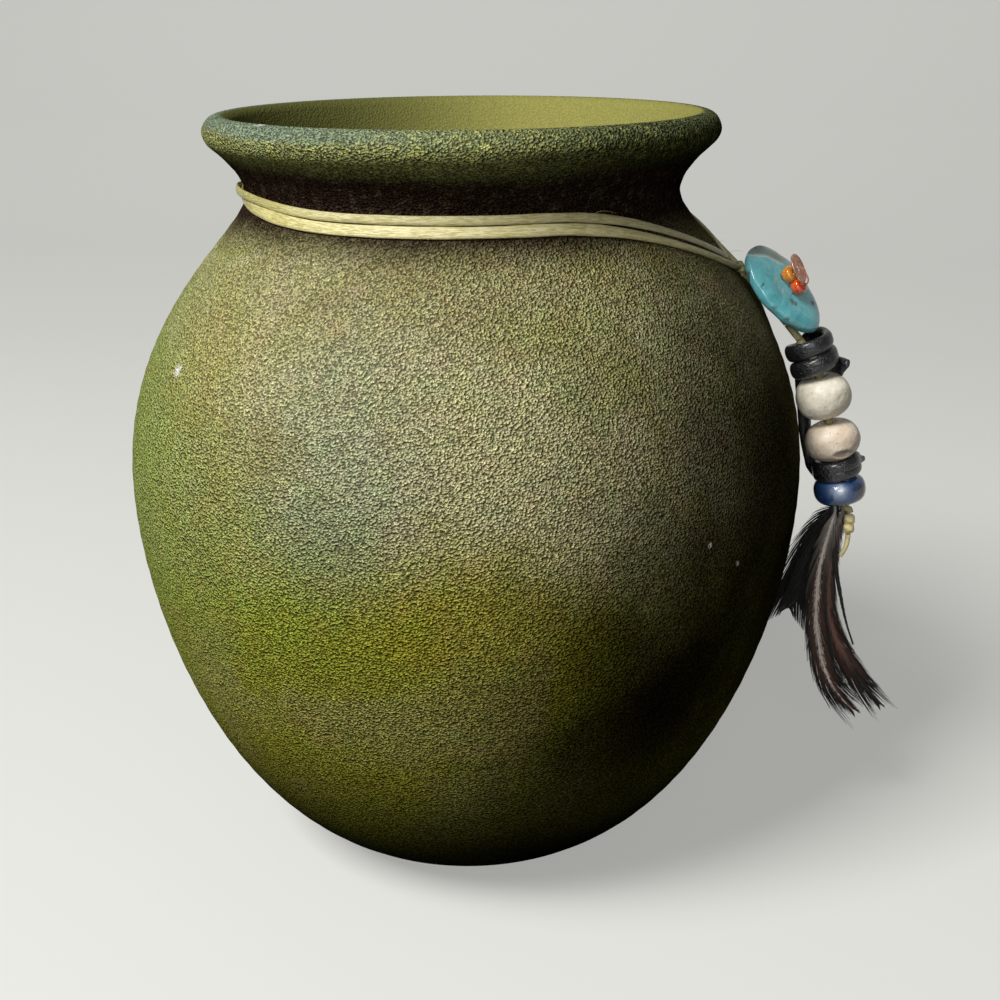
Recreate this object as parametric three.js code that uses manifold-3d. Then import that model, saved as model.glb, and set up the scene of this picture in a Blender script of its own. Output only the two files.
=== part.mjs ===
// A wheel-thrown raku jar with a sinew cord tied round its neck. The cord carries a drilled turquoise
// slab and a hanging tassel of beads, black lace and feathers. Millimetres, +Z up, origin at the middle
// of the foot, +X towards the tassel.
import * as THREE from "three";
import { mergeVertices } from "three/addons/utils/BufferGeometryUtils.js";
import Module from "manifold-3d";

// Jar
const jarHeight = 163;
const lipRadius = 54;
const lipRoll = 3.4;
const lipUnderAngle = -50;
const lipInsideAngle = 150;
const neckRadius = 45.9;
const lipToNeck = 16;
const bellyRadius = 74.1;
const lipToBelly = 77;
const footRadius = 33.5;
const wall = 5;
const floorThickness = 7;
const footRingWidth = 5;
const footRecess = 2.4;
const footRounding = 0.8;
// How far each end of the thrown curve keeps its own direction
const footSpread = 27;
const footLift = 13;
const bellyPull = 28;
const shoulderPull = 37;
const neckPull = 8;
const jarSegments = 72;
const neckHeight = jarHeight - lipToNeck;
const bellyHeight = jarHeight - lipToBelly;

// Space left between pieces that touch
const seat = 0.3;

// Sinew cord tied round the neck
const tieDiameter = 1.4;
const tieLoops = 2;
const tieDrop = 1.7;
const tieHeight = neckHeight - tieDrop;
const tieBackRise = 2.4;
const tieSpacing = 2.6;
const tiePullAngle = 62;
const tieCrossAngle = 170;
const tieCrossWidth = 34;
const tieStepsPerLoop = 36;
const tieStandOff = 0.5;
const knotDiameter = 2.6;
const knotDrop = 17.3;

// Turquoise slab with its stitch, two seed beads and a copper disc
const slabLength = 22.2;
const slabWidth = 15.6;
const slabThickness = 4.2;
const slabSlope = 47.9;
const slabRoll = 28;
const slabForward = 9.1;
// Share of its full thickness that the slab has over the knot
const slabEndShare = 0.78;
const slabHole = 1.8;
const slabHoleUp = 2;
const slabBevel = 3.2;
const slabBevelSlope = 32;
const seedDiameter = 3;
const seedHeight = 2.4;
const seedBore = 1.2;
const seedGap = 0.5;
const discDiameter = 6.4;
const discThickness = 0.5;
const discTilt = 15;
const stitchDiameter = 0.6;

// Sinew strand that the tassel hangs on
const strandDiameter = 1.6;
const tailDiameter = 1.2;
const endKnotDiameter = 2.6;

// Tassel: its line starts this far out from the knot and down, and leans away from the belly, less and less
const tasselOut = 14.19;
const tasselDown = 13.98;
const swayOut = 10.09;
const swayDown = 11.48;
const liftOut = 12.89;
const liftDown = 14.88;
const tasselLeanTop = 21;
const tasselLeanEnd = 7.5;
const tasselReach = 42;
const laceUpperWidth = 2.6;
const laceLowerWidth = 1.9;
const laceThickness = 1.9;
const laceRadius = 4.3;
const upperPitch = 3.5;
const upperTurns = 1.98;
const lowerPitch = 2.45;
const lowerTurns = 1.55;
const laceTilt = 0.35;
const laceRunAt = 137;
const whiteDiameter = 11.9;
const whiteUpperHeight = 9.5;
const whiteLowerHeight = 8.7;
const whiteBore = 3.4;
const blueDiameter = 11.3;
const blueHeight = 5.8;
const blueBore = 5.2;
const beadClearance = 0.6;
const blueClearance = 0.1;
// How far a turn of lace sits down past the rounded end of a bead
const beadTuck = 0.3;
const quillDiameter = 0.8;
const quillTuck = 3.5;
const featherThickness = 0.6;

const rad = Math.PI / 180;
const v3 = (x, y, z) => new THREE.Vector3(x, y, z);
const v2 = (x, y) => new THREE.Vector2(x, y);
const smooth = (t) => THREE.MathUtils.smoothstep(t, 0, 1);
const lerp = THREE.MathUtils.lerp;

// Joins shared vertices, drops collapsed triangles and turns the faces outwards
function closedBody(source) {
  const bare = source.index ? source.toNonIndexed() : source;
  bare.deleteAttribute("normal");
  bare.deleteAttribute("uv");
  const body = mergeVertices(bare, 1e-4);
  const position = body.attributes.position;
  const [a, b, c] = [v3(0, 0, 0), v3(0, 0, 0), v3(0, 0, 0)];
  const kept = [];
  let volume = 0;
  for (let i = 0; i < body.index.count; i += 3) {
    const corners = [0, 1, 2].map((k) => body.index.getX(i + k));
    if (new Set(corners).size < 3) continue;
    kept.push(...corners);
    a.fromBufferAttribute(position, corners[0]);
    b.fromBufferAttribute(position, corners[1]);
    c.fromBufferAttribute(position, corners[2]);
    volume += a.dot(b.cross(c));
  }
  if (volume < 0) kept.reverse();
  body.setIndex(kept);
  body.computeVertexNormals();
  return body;
}

// Turns a profile of (radius, height) points round +Z
function turned(profile, segments) {
  const lathe = new THREE.LatheGeometry(profile, segments);
  lathe.rotateX(Math.PI / 2);
  return closedBody(lathe);
}

// A round tube along a smooth line through the points
function tube(points, diameter, sides, steps) {
  const line = new THREE.CatmullRomCurve3(points, false, "centripetal");
  line.arcLengthDivisions = steps * 12;
  const corners = [];
  for (let i = 0; i < sides; i += 1) {
    const turn = (i / sides) * 2 * Math.PI;
    corners.push(v2((Math.cos(turn) * diameter) / 2, (Math.sin(turn) * diameter) / 2));
  }
  const section = new THREE.Shape(corners);
  return closedBody(new THREE.ExtrudeGeometry(section, { extrudePath: line, steps, bevelEnabled: false }));
}

// Skins a row of equal rings and closes both ends
function loft(rings) {
  const count = rings[0].length;
  const vertices = rings.flat().flatMap((p) => [p.x, p.y, p.z]);
  const faces = [];
  for (let r = 0; r < rings.length - 1; r += 1) {
    for (let i = 0; i < count; i += 1) {
      const next = (i + 1) % count;
      const [p, q] = [r * count + i, r * count + next];
      faces.push(p, q, q + count, p, q + count, p + count);
    }
  }
  const last = (rings.length - 1) * count;
  for (let i = 1; i < count - 1; i += 1) {
    faces.push(0, i + 1, i, last, last + i, last + i + 1);
  }
  const geometry = new THREE.BufferGeometry();
  geometry.setAttribute("position", new THREE.Float32BufferAttribute(vertices, 3));
  geometry.setIndex(faces);
  return closedBody(geometry);
}

const manifold = await Module();
manifold.setup();

function toSolid(geometry) {
  const body = closedBody(geometry);
  return new manifold.Manifold(
    new manifold.Mesh({
      numProp: 3,
      vertProperties: new Float32Array(body.attributes.position.array),
      triVerts: new Uint32Array(body.index.array),
    }),
  );
}

function toGeometry(solid) {
  const mesh = solid.getMesh();
  const geometry = new THREE.BufferGeometry();
  geometry.setAttribute("position", new THREE.Float32BufferAttribute(mesh.vertProperties, 3));
  geometry.setIndex(Array.from(mesh.triVerts));
  return closedBody(geometry);
}

function finish(color, roughness, metalness = 0) {
  return new THREE.MeshStandardMaterial({ color, roughness, metalness });
}

const jarPot = new THREE.Group();

function add(name, geometry, material) {
  const mesh = new THREE.Mesh(geometry, material);
  mesh.name = name;
  jarPot.add(mesh);
  return mesh;
}

// Outside of the jar: foot to belly, belly to neck, neck to lip
const lipCentre = v2(lipRadius - lipRoll, jarHeight - lipRoll);
const lipUnder = lipUnderAngle * rad;
const lipInside = lipInsideAngle * rad;
const onLip = (angle) => v2(lipCentre.x + lipRoll * Math.cos(angle), lipCentre.y + lipRoll * Math.sin(angle));
const lowerCurve = new THREE.CubicBezierCurve(
  v2(footRadius, footRounding),
  v2(footRadius + footSpread, footRounding + footLift),
  v2(bellyRadius, bellyHeight - bellyPull),
  v2(bellyRadius, bellyHeight),
);
const shoulderCurve = new THREE.CubicBezierCurve(
  v2(bellyRadius, bellyHeight),
  v2(bellyRadius, bellyHeight + shoulderPull),
  v2(neckRadius, neckHeight - neckPull),
  v2(neckRadius, neckHeight),
);

// A flare that leaves the upright neck and meets the lip's roll at its own slope
function flare(neck, lip, angle) {
  const slope = v2(-Math.sin(angle), Math.cos(angle));
  const reach = (lip.x - neck.x) / slope.x;
  return new THREE.QuadraticBezierCurve(neck, v2(neck.x, lip.y - reach * slope.y), lip);
}

const outerFlare = flare(v2(neckRadius, neckHeight), onLip(lipUnder), lipUnder);
const innerFlare = flare(v2(neckRadius - wall, neckHeight), onLip(lipInside), lipInside);
const outsideSteps = 10;
const insideSteps = 6;

function jarProfile() {
  const ringInside = footRadius - footRingWidth;
  const profile = [v2(0, footRecess), v2(ringInside - footRecess / 2, footRecess), v2(ringInside, 0)];
  profile.push(v2(footRadius - footRounding, 0));
  profile.push(...lowerCurve.getPoints(outsideSteps));
  profile.push(...shoulderCurve.getPoints(outsideSteps).slice(1));
  profile.push(...outerFlare.getPoints(3).slice(1, -1));
  for (let i = 0; i <= 8; i += 1) profile.push(onLip(lerp(lipUnder, lipInside, i / 8)));
  profile.push(...innerFlare.getPoints(3).reverse().slice(1));
  // The inside keeps one wall's thickness from the outside, down to the floor
  const inside = (curve, t) => {
    const tangent = curve.getTangent(t);
    const point = curve.getPoint(t);
    return v2(point.x - wall * tangent.y, point.y + wall * tangent.x);
  };
  for (let i = insideSteps - 1; i >= 0; i -= 1) profile.push(inside(shoulderCurve, i / insideSteps));
  const floorFillet = wall;
  for (let i = insideSteps - 1; i >= 0; i -= 1) {
    const point = inside(lowerCurve, i / insideSteps);
    if (point.y > floorThickness + floorFillet) profile.push(point);
  }
  const corner = profile[profile.length - 1];
  profile.push(v2(corner.x - floorFillet, floorThickness + floorFillet / 3));
  profile.push(v2(corner.x - 2.2 * floorFillet, floorThickness));
  profile.push(v2(0, floorThickness));
  return profile;
}

// A point off the shoulder's surface at this height, with the surface's direction
function shoulderAt(height, standOff) {
  let [low, high] = [0, 1];
  for (let i = 0; i < 30; i += 1) {
    const middle = (low + high) / 2;
    if (shoulderCurve.getPoint(middle).y < height) low = middle;
    else high = middle;
  }
  const point = height < neckHeight ? shoulderCurve.getPoint(low) : outerFlarePoint(height);
  const tangent = height < neckHeight ? shoulderCurve.getTangent(low) : v2(0, 1);
  return v2(point.x + standOff * tangent.y, point.y - standOff * tangent.x);
}

function outerFlarePoint(height) {
  const points = outerFlare.getPoints(40);
  return points.find((p) => p.y >= height) ?? points[40];
}

// Knot on the shoulder
const knotRadius = knotDiameter / 2;
function knotPlace() {
  const place = shoulderAt(neckHeight - knotDrop, knotRadius + seat);
  return v3(place.x, 0, place.y);
}
const knot = knotPlace();
const fromKnot = (out, down) => knot.clone().add(v3(out, 0, -down));

// One unbroken cord, twice round the neck. Both turns dip to the knot, and they cross once behind.
const tieSag = neckRadius * (1 - Math.cos(Math.PI / tieStepsPerLoop));
function tiePoint(turn) {
  const loop = Math.floor(turn);
  const share = turn - loop;
  const around = Math.min(share, 1 - share) * 360;
  const rise = Math.sin((Math.PI / 2) * Math.min(around / tiePullAngle, 1));
  const spread = lerp(knotRadius + seat + tieDiameter / 2, tieSpacing, smooth(around / tiePullAngle));
  const middle = lerp(knot.z + spread / 2, tieHeight, rise) + tieBackRise * smooth((around - 110) / 60);
  const crossing = (share * 360 - tieCrossAngle) / tieCrossWidth;
  const swap = 2 * smooth((crossing + 1) / 2) - 1;
  const side = loop % 2 === 0 ? swap : -swap;
  const hump = loop % 2 === 0 ? 0 : (tieDiameter + 0.6) * (1 - smooth(Math.abs(crossing) * 0.8));
  const place = shoulderAt(middle + (side * spread) / 2, tieDiameter / 2 + tieStandOff + tieSag + hump);
  const angle = -turn * 2 * Math.PI;
  return v3(place.x * Math.cos(angle), place.x * Math.sin(angle), place.y);
}

function tieRoute() {
  const clear = 12 / 360;
  const points = [];
  const steps = tieLoops * tieStepsPerLoop;
  for (let i = 0; i <= steps; i += 1) {
    points.push(tiePoint(lerp(clear, tieLoops - clear, i / steps)));
  }
  const end = (towards) => {
    const way = towards.clone().sub(knot).normalize();
    const start = knotRadius + seat;
    return [start, start + tieDiameter].map((d) => knot.clone().addScaledVector(way, d));
  };
  return [...end(points[0]), ...points, ...end(points[steps]).reverse()];
}

// Least clear space between stretches of a cord that lie further apart along it than `apart`
function leastGap(points, widthAt, apart) {
  const line = new THREE.CatmullRomCurve3(points, false, "centripetal");
  line.arcLengthDivisions = points.length * 20;
  const samples = line.getSpacedPoints(900);
  const widths = samples.map(widthAt);
  const skip = Math.ceil((apart / line.getLength()) * 900);
  let least = Infinity;
  for (let i = 0; i < samples.length; i += 1) {
    for (let j = i + skip; j < samples.length; j += 1) {
      least = Math.min(least, samples[i].distanceTo(samples[j]) - (widths[i] + widths[j]) / 2);
    }
  }
  return least.toFixed(2);
}

// Slab's own axes: along it down the shoulder, across it, and out of its face. It is rolled to one side.
const slope = slabSlope * rad;
const along = v3(Math.cos(slope), 0, -Math.sin(slope));
const overShoulder = v3(Math.sin(slope), 0, Math.cos(slope));
const across = v3(0, 1, 0).applyAxisAngle(along, slabRoll * rad);
const outward = overShoulder.clone().applyAxisAngle(along, slabRoll * rad);
const slabLift = ((slabThickness * slabEndShare) / 2 + seat + knotRadius) / Math.cos(slabRoll * rad);
const slabCentre = knot.clone().addScaledVector(overShoulder, slabLift).addScaledVector(along, slabForward);
const onSlab = (forward, side, up) =>
  slabCentre.clone().addScaledVector(along, forward).addScaledVector(across, side).addScaledVector(outward, up);

// Moves a piece made about its own +Z onto the slab's face, or onto the tassel's line
function stood(geometry, place, up) {
  const turn = new THREE.Quaternion().setFromUnitVectors(v3(0, 0, 1), up);
  return geometry.applyQuaternion(turn).translate(place.x, place.y, place.z);
}

function slabGeometry() {
  const pebble = new THREE.SphereGeometry(1, 28, 14);
  const position = pebble.attributes.position;
  const point = v3(0, 0, 0);
  for (let i = 0; i < position.count; i += 1) {
    point.fromBufferAttribute(position, i);
    const plan = Math.hypot(point.x, point.z);
    const fuller = plan > 1e-6 ? plan ** 0.62 / plan : 0;
    const forward = point.x * fuller;
    const side = point.z * fuller * (1 - 0.16 * forward);
    const up = Math.sign(point.y) * Math.abs(point.y) ** 0.75;
    const place = onSlab((forward * slabLength) / 2, (side * slabWidth) / 2, (up * slabThickness) / 2);
    position.setXYZ(i, place.x, place.y, place.z);
  }
  const hole = new THREE.CylinderGeometry(slabHole / 2, slabHole / 2, slabThickness * 2, 16);
  hole.rotateX(Math.PI / 2);
  stood(hole, onSlab(-slabHoleUp, 0, 0), outward);
  // The worn slope at the upper end of the face
  const cutter = new THREE.BoxGeometry(slabWidth * 2, slabWidth * 2, slabWidth);
  cutter.rotateY(-slabBevelSlope * rad);
  const frame = new THREE.Matrix4().makeBasis(along, across, outward);
  cutter.translate(0, 0, slabWidth / 2 / Math.cos(slabBevelSlope * rad));
  cutter.applyMatrix4(frame);
  const edge = onSlab(-slabLength / 2 + slabBevel, 0, slabThickness / 2 - 0.2);
  cutter.translate(edge.x, edge.y, edge.z);
  return toGeometry(toSolid(pebble).subtract(toSolid(hole)).subtract(toSolid(cutter)));
}

// A bead with a bore: `fullness` near 1 gives a ball, less gives a squarer barrel
function beadGeometry(diameter, height, bore, fullness, segments, rows) {
  const profile = [];
  for (let i = 0; i <= rows; i += 1) {
    const angle = lerp(-90, 90, i / rows) * rad;
    const out = Math.max(Math.cos(angle), 0) ** fullness;
    const up = Math.sign(angle) * Math.abs(Math.sin(angle)) ** fullness;
    profile.push(v2(lerp(bore / 2, diameter / 2, out), (up * height) / 2));
  }
  profile.push(profile[0].clone());
  return turned(profile, segments);
}

// A small cord knot: a row of balls run into each other
function knotGeometry(diameter, bumps) {
  const radius = diameter / 2;
  const spacing = diameter * 0.8;
  const half = radius + (spacing * (bumps - 1)) / 2;
  const rows = 8 * bumps;
  const profile = [];
  for (let i = 0; i <= rows; i += 1) {
    const up = -half * Math.cos((Math.PI * i) / rows);
    let out = 0;
    for (let k = 0; k < bumps; k += 1) {
      const away = up - spacing * (k - (bumps - 1) / 2);
      out = Math.max(out, Math.sqrt(Math.max(radius ** 2 - away ** 2, 0)));
    }
    profile.push(v2(out, up));
  }
  profile[0].x = 0;
  profile[rows].x = 0;
  return turned(profile, 12);
}

// Tassel's line and what is threaded on it, by distance along the line
const topPlace = fromKnot(tasselOut, tasselDown);
const behind = v3(0, 1, 0);
const leanRate = ((tasselLeanEnd - tasselLeanTop) * rad) / tasselReach;
const leanAt = (station) => tasselLeanTop * rad + leanRate * station;
const downAt = (station) => v3(Math.sin(leanAt(station)), 0, -Math.cos(leanAt(station)));
const asideAt = (station) => v3(Math.cos(leanAt(station)), 0, Math.sin(leanAt(station)));

// A place beside the line: azimuth 0 is away from the jar, 90 behind, 180 next to the jar
function onTassel(station, radius = 0, azimuth = 0) {
  const [from, to] = [leanAt(0), leanAt(station)];
  const place = v3(Math.cos(from) - Math.cos(to), 0, Math.sin(from) - Math.sin(to));
  return place
    .divideScalar(leanRate)
    .add(topPlace)
    .addScaledVector(asideAt(station), radius * Math.cos(azimuth * rad))
    .addScaledVector(behind, radius * Math.sin(azimuth * rad));
}

function stationOf(place) {
  let station = 0;
  for (let i = 0; i < 6; i += 1) station += place.clone().sub(onTassel(station)).dot(downAt(station));
  return station;
}

const upperWrapHeight = upperTurns * upperPitch + laceUpperWidth;
const lowerWrapHeight = lowerTurns * lowerPitch + laceLowerWidth;
const whiteUpperAt = upperWrapHeight + laceTilt - beadTuck + whiteUpperHeight / 2;
const whiteLowerAt = whiteUpperAt + whiteUpperHeight / 2 + beadClearance + whiteLowerHeight / 2;
const lowerWrapTop = whiteLowerAt + whiteLowerHeight / 2 - beadTuck;
const lowerWrapEnd = lowerWrapTop + lowerWrapHeight;
const blueAt = lowerWrapEnd + blueClearance + blueHeight / 2;
const stackEnd = blueAt + blueHeight / 2;

// One unbroken lace: its cut end, the upper turns rising, a loop over the back, the run behind the
// beads, the lower turns rising and its other cut end
function laceRoute() {
  const runRadius = whiteDiameter / 2 + 0.45 + laceThickness / 2;
  const points = [];
  const put = (station, radius, azimuth) => points.push(onTassel(station, radius, azimuth));
  const stepsPerTurn = 12;
  const upperStart = 25;
  const upperBottom = upperWrapHeight - laceUpperWidth / 2;
  put(upperBottom - 0.8, laceRadius + 3.1, upperStart - 40);
  put(upperBottom - 0.4, laceRadius + 1.9, upperStart - 32);
  put(upperBottom - 0.1, laceRadius + 0.8, upperStart - 18);
  const upperSteps = Math.round(upperTurns * stepsPerTurn);
  for (let i = 0; i <= upperSteps; i += 1) {
    const turn = (upperTurns * i) / upperSteps;
    const azimuth = upperStart + turn * 360;
    const tilt = laceTilt * (1 - turn) * Math.cos(azimuth * rad);
    put(upperBottom - turn * upperPitch - tilt, laceRadius, azimuth);
  }
  const upperEnd = upperStart + upperTurns * 360;
  put(laceUpperWidth / 2 - 0.5, laceRadius + 0.3, upperEnd + 16);
  put(laceUpperWidth / 2 - 0.8, laceRadius + 0.8, upperEnd + 32);
  put(laceUpperWidth / 2 - 0.4, laceRadius + 1.6, upperEnd + 48);
  put(laceUpperWidth / 2 + 0.8, runRadius - 0.35, upperEnd + 64);
  const runTo = upperEnd - (upperEnd % 360) + laceRunAt;
  put(laceUpperWidth / 2 + 2.8, runRadius, runTo - 35);
  put(upperWrapHeight, runRadius, runTo - 22);
  put(whiteUpperAt, runRadius, runTo - 14);
  put(whiteLowerAt - 1, runRadius, runTo);
  put(lowerWrapTop, runRadius, runTo);
  const lowerBottom = lowerWrapEnd - laceLowerWidth / 2;
  put(lowerBottom - 2.4, runRadius - 0.2, runTo + 1);
  put(lowerBottom - 0.8, runRadius - 0.8, runTo + 7);
  put(lowerBottom - 0.1, laceRadius + 0.9, runTo + 18);
  const lowerSteps = Math.round(lowerTurns * stepsPerTurn);
  for (let i = 0; i <= lowerSteps; i += 1) {
    const turn = (lowerTurns * i) / lowerSteps;
    put(lowerBottom - turn * lowerPitch, laceRadius, runTo + 34 + turn * 360);
  }
  const lowerEnd = runTo + 34 + lowerTurns * 360;
  const lowerTop = lowerWrapTop + laceLowerWidth / 2;
  put(lowerTop + 0.1, laceRadius + 0.7, lowerEnd + 14);
  put(lowerTop + 0.2, laceRadius + 1.8, lowerEnd + 24);
  put(lowerTop + 0.3, laceRadius + 3, lowerEnd + 31);
  return points;
}

const laceWidthAt = (station) =>
  lerp(laceUpperWidth, laceLowerWidth, smooth((station - upperWrapHeight) / (whiteUpperHeight + whiteLowerHeight)));

// The lace is a soft flat thong, so its section is an oval that lies flat round the line
function laceGeometry(route, sides, steps) {
  const line = new THREE.CatmullRomCurve3(route, false, "centripetal");
  line.arcLengthDivisions = steps * 12;
  const rings = [];
  for (let i = 0; i <= steps; i += 1) {
    const point = line.getPointAt(i / steps);
    const tangent = line.getTangentAt(i / steps);
    const station = stationOf(point);
    const wide = tangent.clone().cross(point.clone().sub(onTassel(station))).normalize();
    const thick = wide.clone().cross(tangent).normalize();
    const ring = [];
    for (let k = 0; k < sides; k += 1) {
      const angle = (k / sides) * 2 * Math.PI;
      const corner = point.clone().addScaledVector(wide, (Math.cos(angle) * laceWidthAt(station)) / 2);
      ring.push(corner.addScaledVector(thick, (Math.sin(angle) * laceThickness) / 2));
    }
    rings.push(ring);
  }
  return loft(rings);
}

// A feather: a round quill that opens into a thin curved blade and closes to its tip
function featherGeometry({ line, width, widest, tip, twist = 0 }) {
  const curve = new THREE.CatmullRomCurve3(line, false, "centripetal");
  curve.arcLengthDivisions = 400;
  const steps = 20;
  const rings = [];
  for (let i = 0; i <= steps; i += 1) {
    const share = i / steps;
    const point = curve.getPointAt(share);
    const tangent = curve.getTangentAt(share);
    const side = behind.clone().cross(tangent).normalize().applyAxisAngle(tangent, twist * rad * share);
    const face = tangent.clone().cross(side).normalize();
    const opening = smooth((share - 0.1) / (widest - 0.1));
    const closing = 1 - smooth((share - widest) / (1 - widest));
    const blade = share < widest ? lerp(quillDiameter, width, opening) : lerp(tip, width, closing);
    const thick = lerp(quillDiameter, featherThickness, opening);
    const ring = [];
    for (let k = 0; k < 6; k += 1) {
      const angle = (k / 6) * 2 * Math.PI;
      ring.push(
        point
          .clone()
          .addScaledVector(side, (Math.cos(angle) * blade) / 2)
          .addScaledVector(face, (Math.sin(angle) * thick) / 2),
      );
    }
    rings.push(ring);
  }
  return loft(rings);
}

const quillRing = strandDiameter / 2 + 2 * seat + quillDiameter / 2;
const quill = (azimuth) => [
  onTassel(stackEnd - quillTuck, quillRing, azimuth),
  onTassel(stackEnd - quillTuck / 2, quillRing, azimuth),
  onTassel(stackEnd + 0.4, quillRing, azimuth),
];

// Jar and neck cord
add("jar", turned(jarProfile(), jarSegments), finish(0x5f6b2e, 0.62, 0.25));

const tiePoints = tieRoute();
add("neck_tie", tube(tiePoints, tieDiameter, 6, tieLoops * tieStepsPerLoop + 6), finish(0xd9cf9a, 0.55));
console.log("neck_tie least gap to itself, mm:", leastGap(tiePoints, () => tieDiameter, 20));

add("shoulder_knot", knotGeometry(knotDiameter, 1).translate(knot.x, knot.y, knot.z), finish(0xcfc48c, 0.6));

// Slab group
add("turquoise_slab", slabGeometry(), finish(0x3fa9ad, 0.25));

const seedBase = slabThickness / 2 + seat;
const amberAt = -slabHoleUp;
const redAt = amberAt + seedDiameter + seedGap;
const seedUp = seedBase + seedHeight / 2;
const seed = () => beadGeometry(seedDiameter, seedHeight, seedBore, 0.8, 14, 6);
add("amber_bead", stood(seed(), onSlab(amberAt, 0, seedUp), outward), finish(0xe8852a, 0.2));
add("red_bead", stood(seed(), onSlab(redAt, 0, seedUp), outward), finish(0xd8431a, 0.2));

const discDip = (discDiameter / 2) * Math.sin(discTilt * rad);
const discUp = seedUp + seedHeight / 2 + seat + discDip + discThickness / 2;
const discAxis = outward.clone().applyAxisAngle(across, discTilt * rad);
const disc = beadGeometry(discDiameter, discThickness, seedBore, 0.5, 20, 4);
add("copper_disc", stood(disc, onSlab(amberAt, 0, discUp), discAxis), finish(0xc9835f, 0.3, 0.9));

// The strand's first stretch, from the knot under the slab to the slab's lower end
const strandRadius = strandDiameter / 2;
const swayPivot = fromKnot(swayOut, swayDown);
const liftPivot = fromKnot(liftOut, liftDown);
function stretch(from, to, startGap, endGap) {
  const way = to.clone().sub(from).normalize();
  return [from.clone().addScaledVector(way, startGap), to.clone().addScaledVector(way, -endGap)];
}

function straightTube([from, to], diameter, steps) {
  const points = [0, 1 / 3, 2 / 3, 1].map((t) => from.clone().lerp(to, t));
  return tube(points, diameter, 8, steps);
}
const sinew = () => finish(0xd6cba0, 0.55);
const jointGap = seat / 2;
const firstStretch = stretch(knot, swayPivot, knotRadius + seat, jointGap);
add("strand_under_slab", straightTube(firstStretch, strandDiameter, 5), sinew());
add("strand_link", straightTube(stretch(swayPivot, liftPivot, jointGap, jointGap), strandDiameter, 3), sinew());

// The stitch rises from the strand through the slab, a seed bead and the disc, and back through the other
function stitchRoute() {
  const base = onSlab(amberAt, 0, 0);
  const strandWay = firstStretch[1].clone().sub(firstStretch[0]).normalize();
  const fall = base.clone().sub(firstStretch[0]);
  const offStrand = fall.sub(strandWay.clone().multiplyScalar(fall.dot(strandWay))).length();
  const low = strandRadius + seat - offStrand;
  const clear = seat + stitchDiameter / 2;
  const tilt = discTilt * rad;
  const hub = onSlab(amberAt, 0, discUp);
  const discWay = along.clone().applyAxisAngle(across, tilt);
  const offDisc = (share, up) =>
    hub.clone().addScaledVector(discWay, (share * discDiameter) / 2).addScaledVector(discAxis, up);
  const top = discThickness / 2 + clear;
  return [
    onSlab(amberAt, 0, low),
    onSlab(amberAt, 0, low + stitchDiameter),
    onSlab(amberAt, 0, seedUp),
    hub,
    offDisc(0.12, top + 0.1),
    offDisc(0.5, top + 0.1),
    offDisc(0.95, top),
    offDisc(1, 0).addScaledVector(along, clear),
    onSlab(redAt, 0, seedUp + seedHeight / 2),
    onSlab(redAt, 0, seedUp),
    onSlab(redAt, 0, seedBase + 0.05),
  ];
}
add("charm_stitch", tube(stitchRoute(), stitchDiameter, 6, 26), sinew());

// Tassel
const lacePoints = laceRoute();
add("black_lace", laceGeometry(lacePoints, 8, 120), finish(0x17181a, 0.4));
console.log("black_lace least gap to itself, mm:", leastGap(lacePoints, (p) => laceWidthAt(stationOf(p)), 9));

const whiteBead = (height) => beadGeometry(whiteDiameter, height, whiteBore, 0.86, 28, 12);
function thread(name, geometry, station, material) {
  add(name, stood(geometry, onTassel(station), downAt(station)), material);
}
thread("white_bead_upper", whiteBead(whiteUpperHeight), whiteUpperAt, finish(0xe6dfd0, 0.5));
thread("white_bead_lower", whiteBead(whiteLowerHeight), whiteLowerAt, finish(0xe0d3c2, 0.4));
const blueBead = beadGeometry(blueDiameter, blueHeight, blueBore, 0.75, 28, 10);
thread("blue_bead", blueBead, blueAt, finish(0x27406b, 0.18));

const endKnotHalf = endKnotDiameter * 0.9;
const endKnot = onTassel(stackEnd).add(v3(1.9, -0.9, -1.2 - endKnotHalf));
function strandRoute() {
  const start = onTassel(stationOf(liftPivot) + 4.4);
  const way = start.clone().sub(liftPivot).normalize();
  const points = [jointGap, jointGap + strandDiameter].map((d) => liftPivot.clone().addScaledVector(way, d));
  points.push(start);
  for (let i = 0; i <= 6; i += 1) points.push(onTassel(lerp(upperWrapHeight, stackEnd - 0.6, i / 6)));
  const knotTop = endKnot.clone().add(v3(0, 0, endKnotHalf + seat));
  points.push(knotTop.clone().add(v3(0, 0, 0.5)), knotTop);
  return points;
}
add("strand_through_beads", tube(strandRoute(), strandDiameter, 8, 28), sinew());
add("end_knot", knotGeometry(endKnotDiameter, 2).translate(endKnot.x, endKnot.y, endKnot.z), finish(0xc9b26a, 0.5));

function tailRoute() {
  const below = (aside, forward, drop) => endKnot.clone().add(v3(aside, -forward, -endKnotHalf - drop));
  return [below(0, 0, seat), below(0, 0, seat + tailDiameter), below(-0.4, 0.9, 3), below(-1.8, 2, 5.6)];
}
add("strand_tail", tube(tailRoute(), tailDiameter, 8, 6), sinew());

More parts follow.
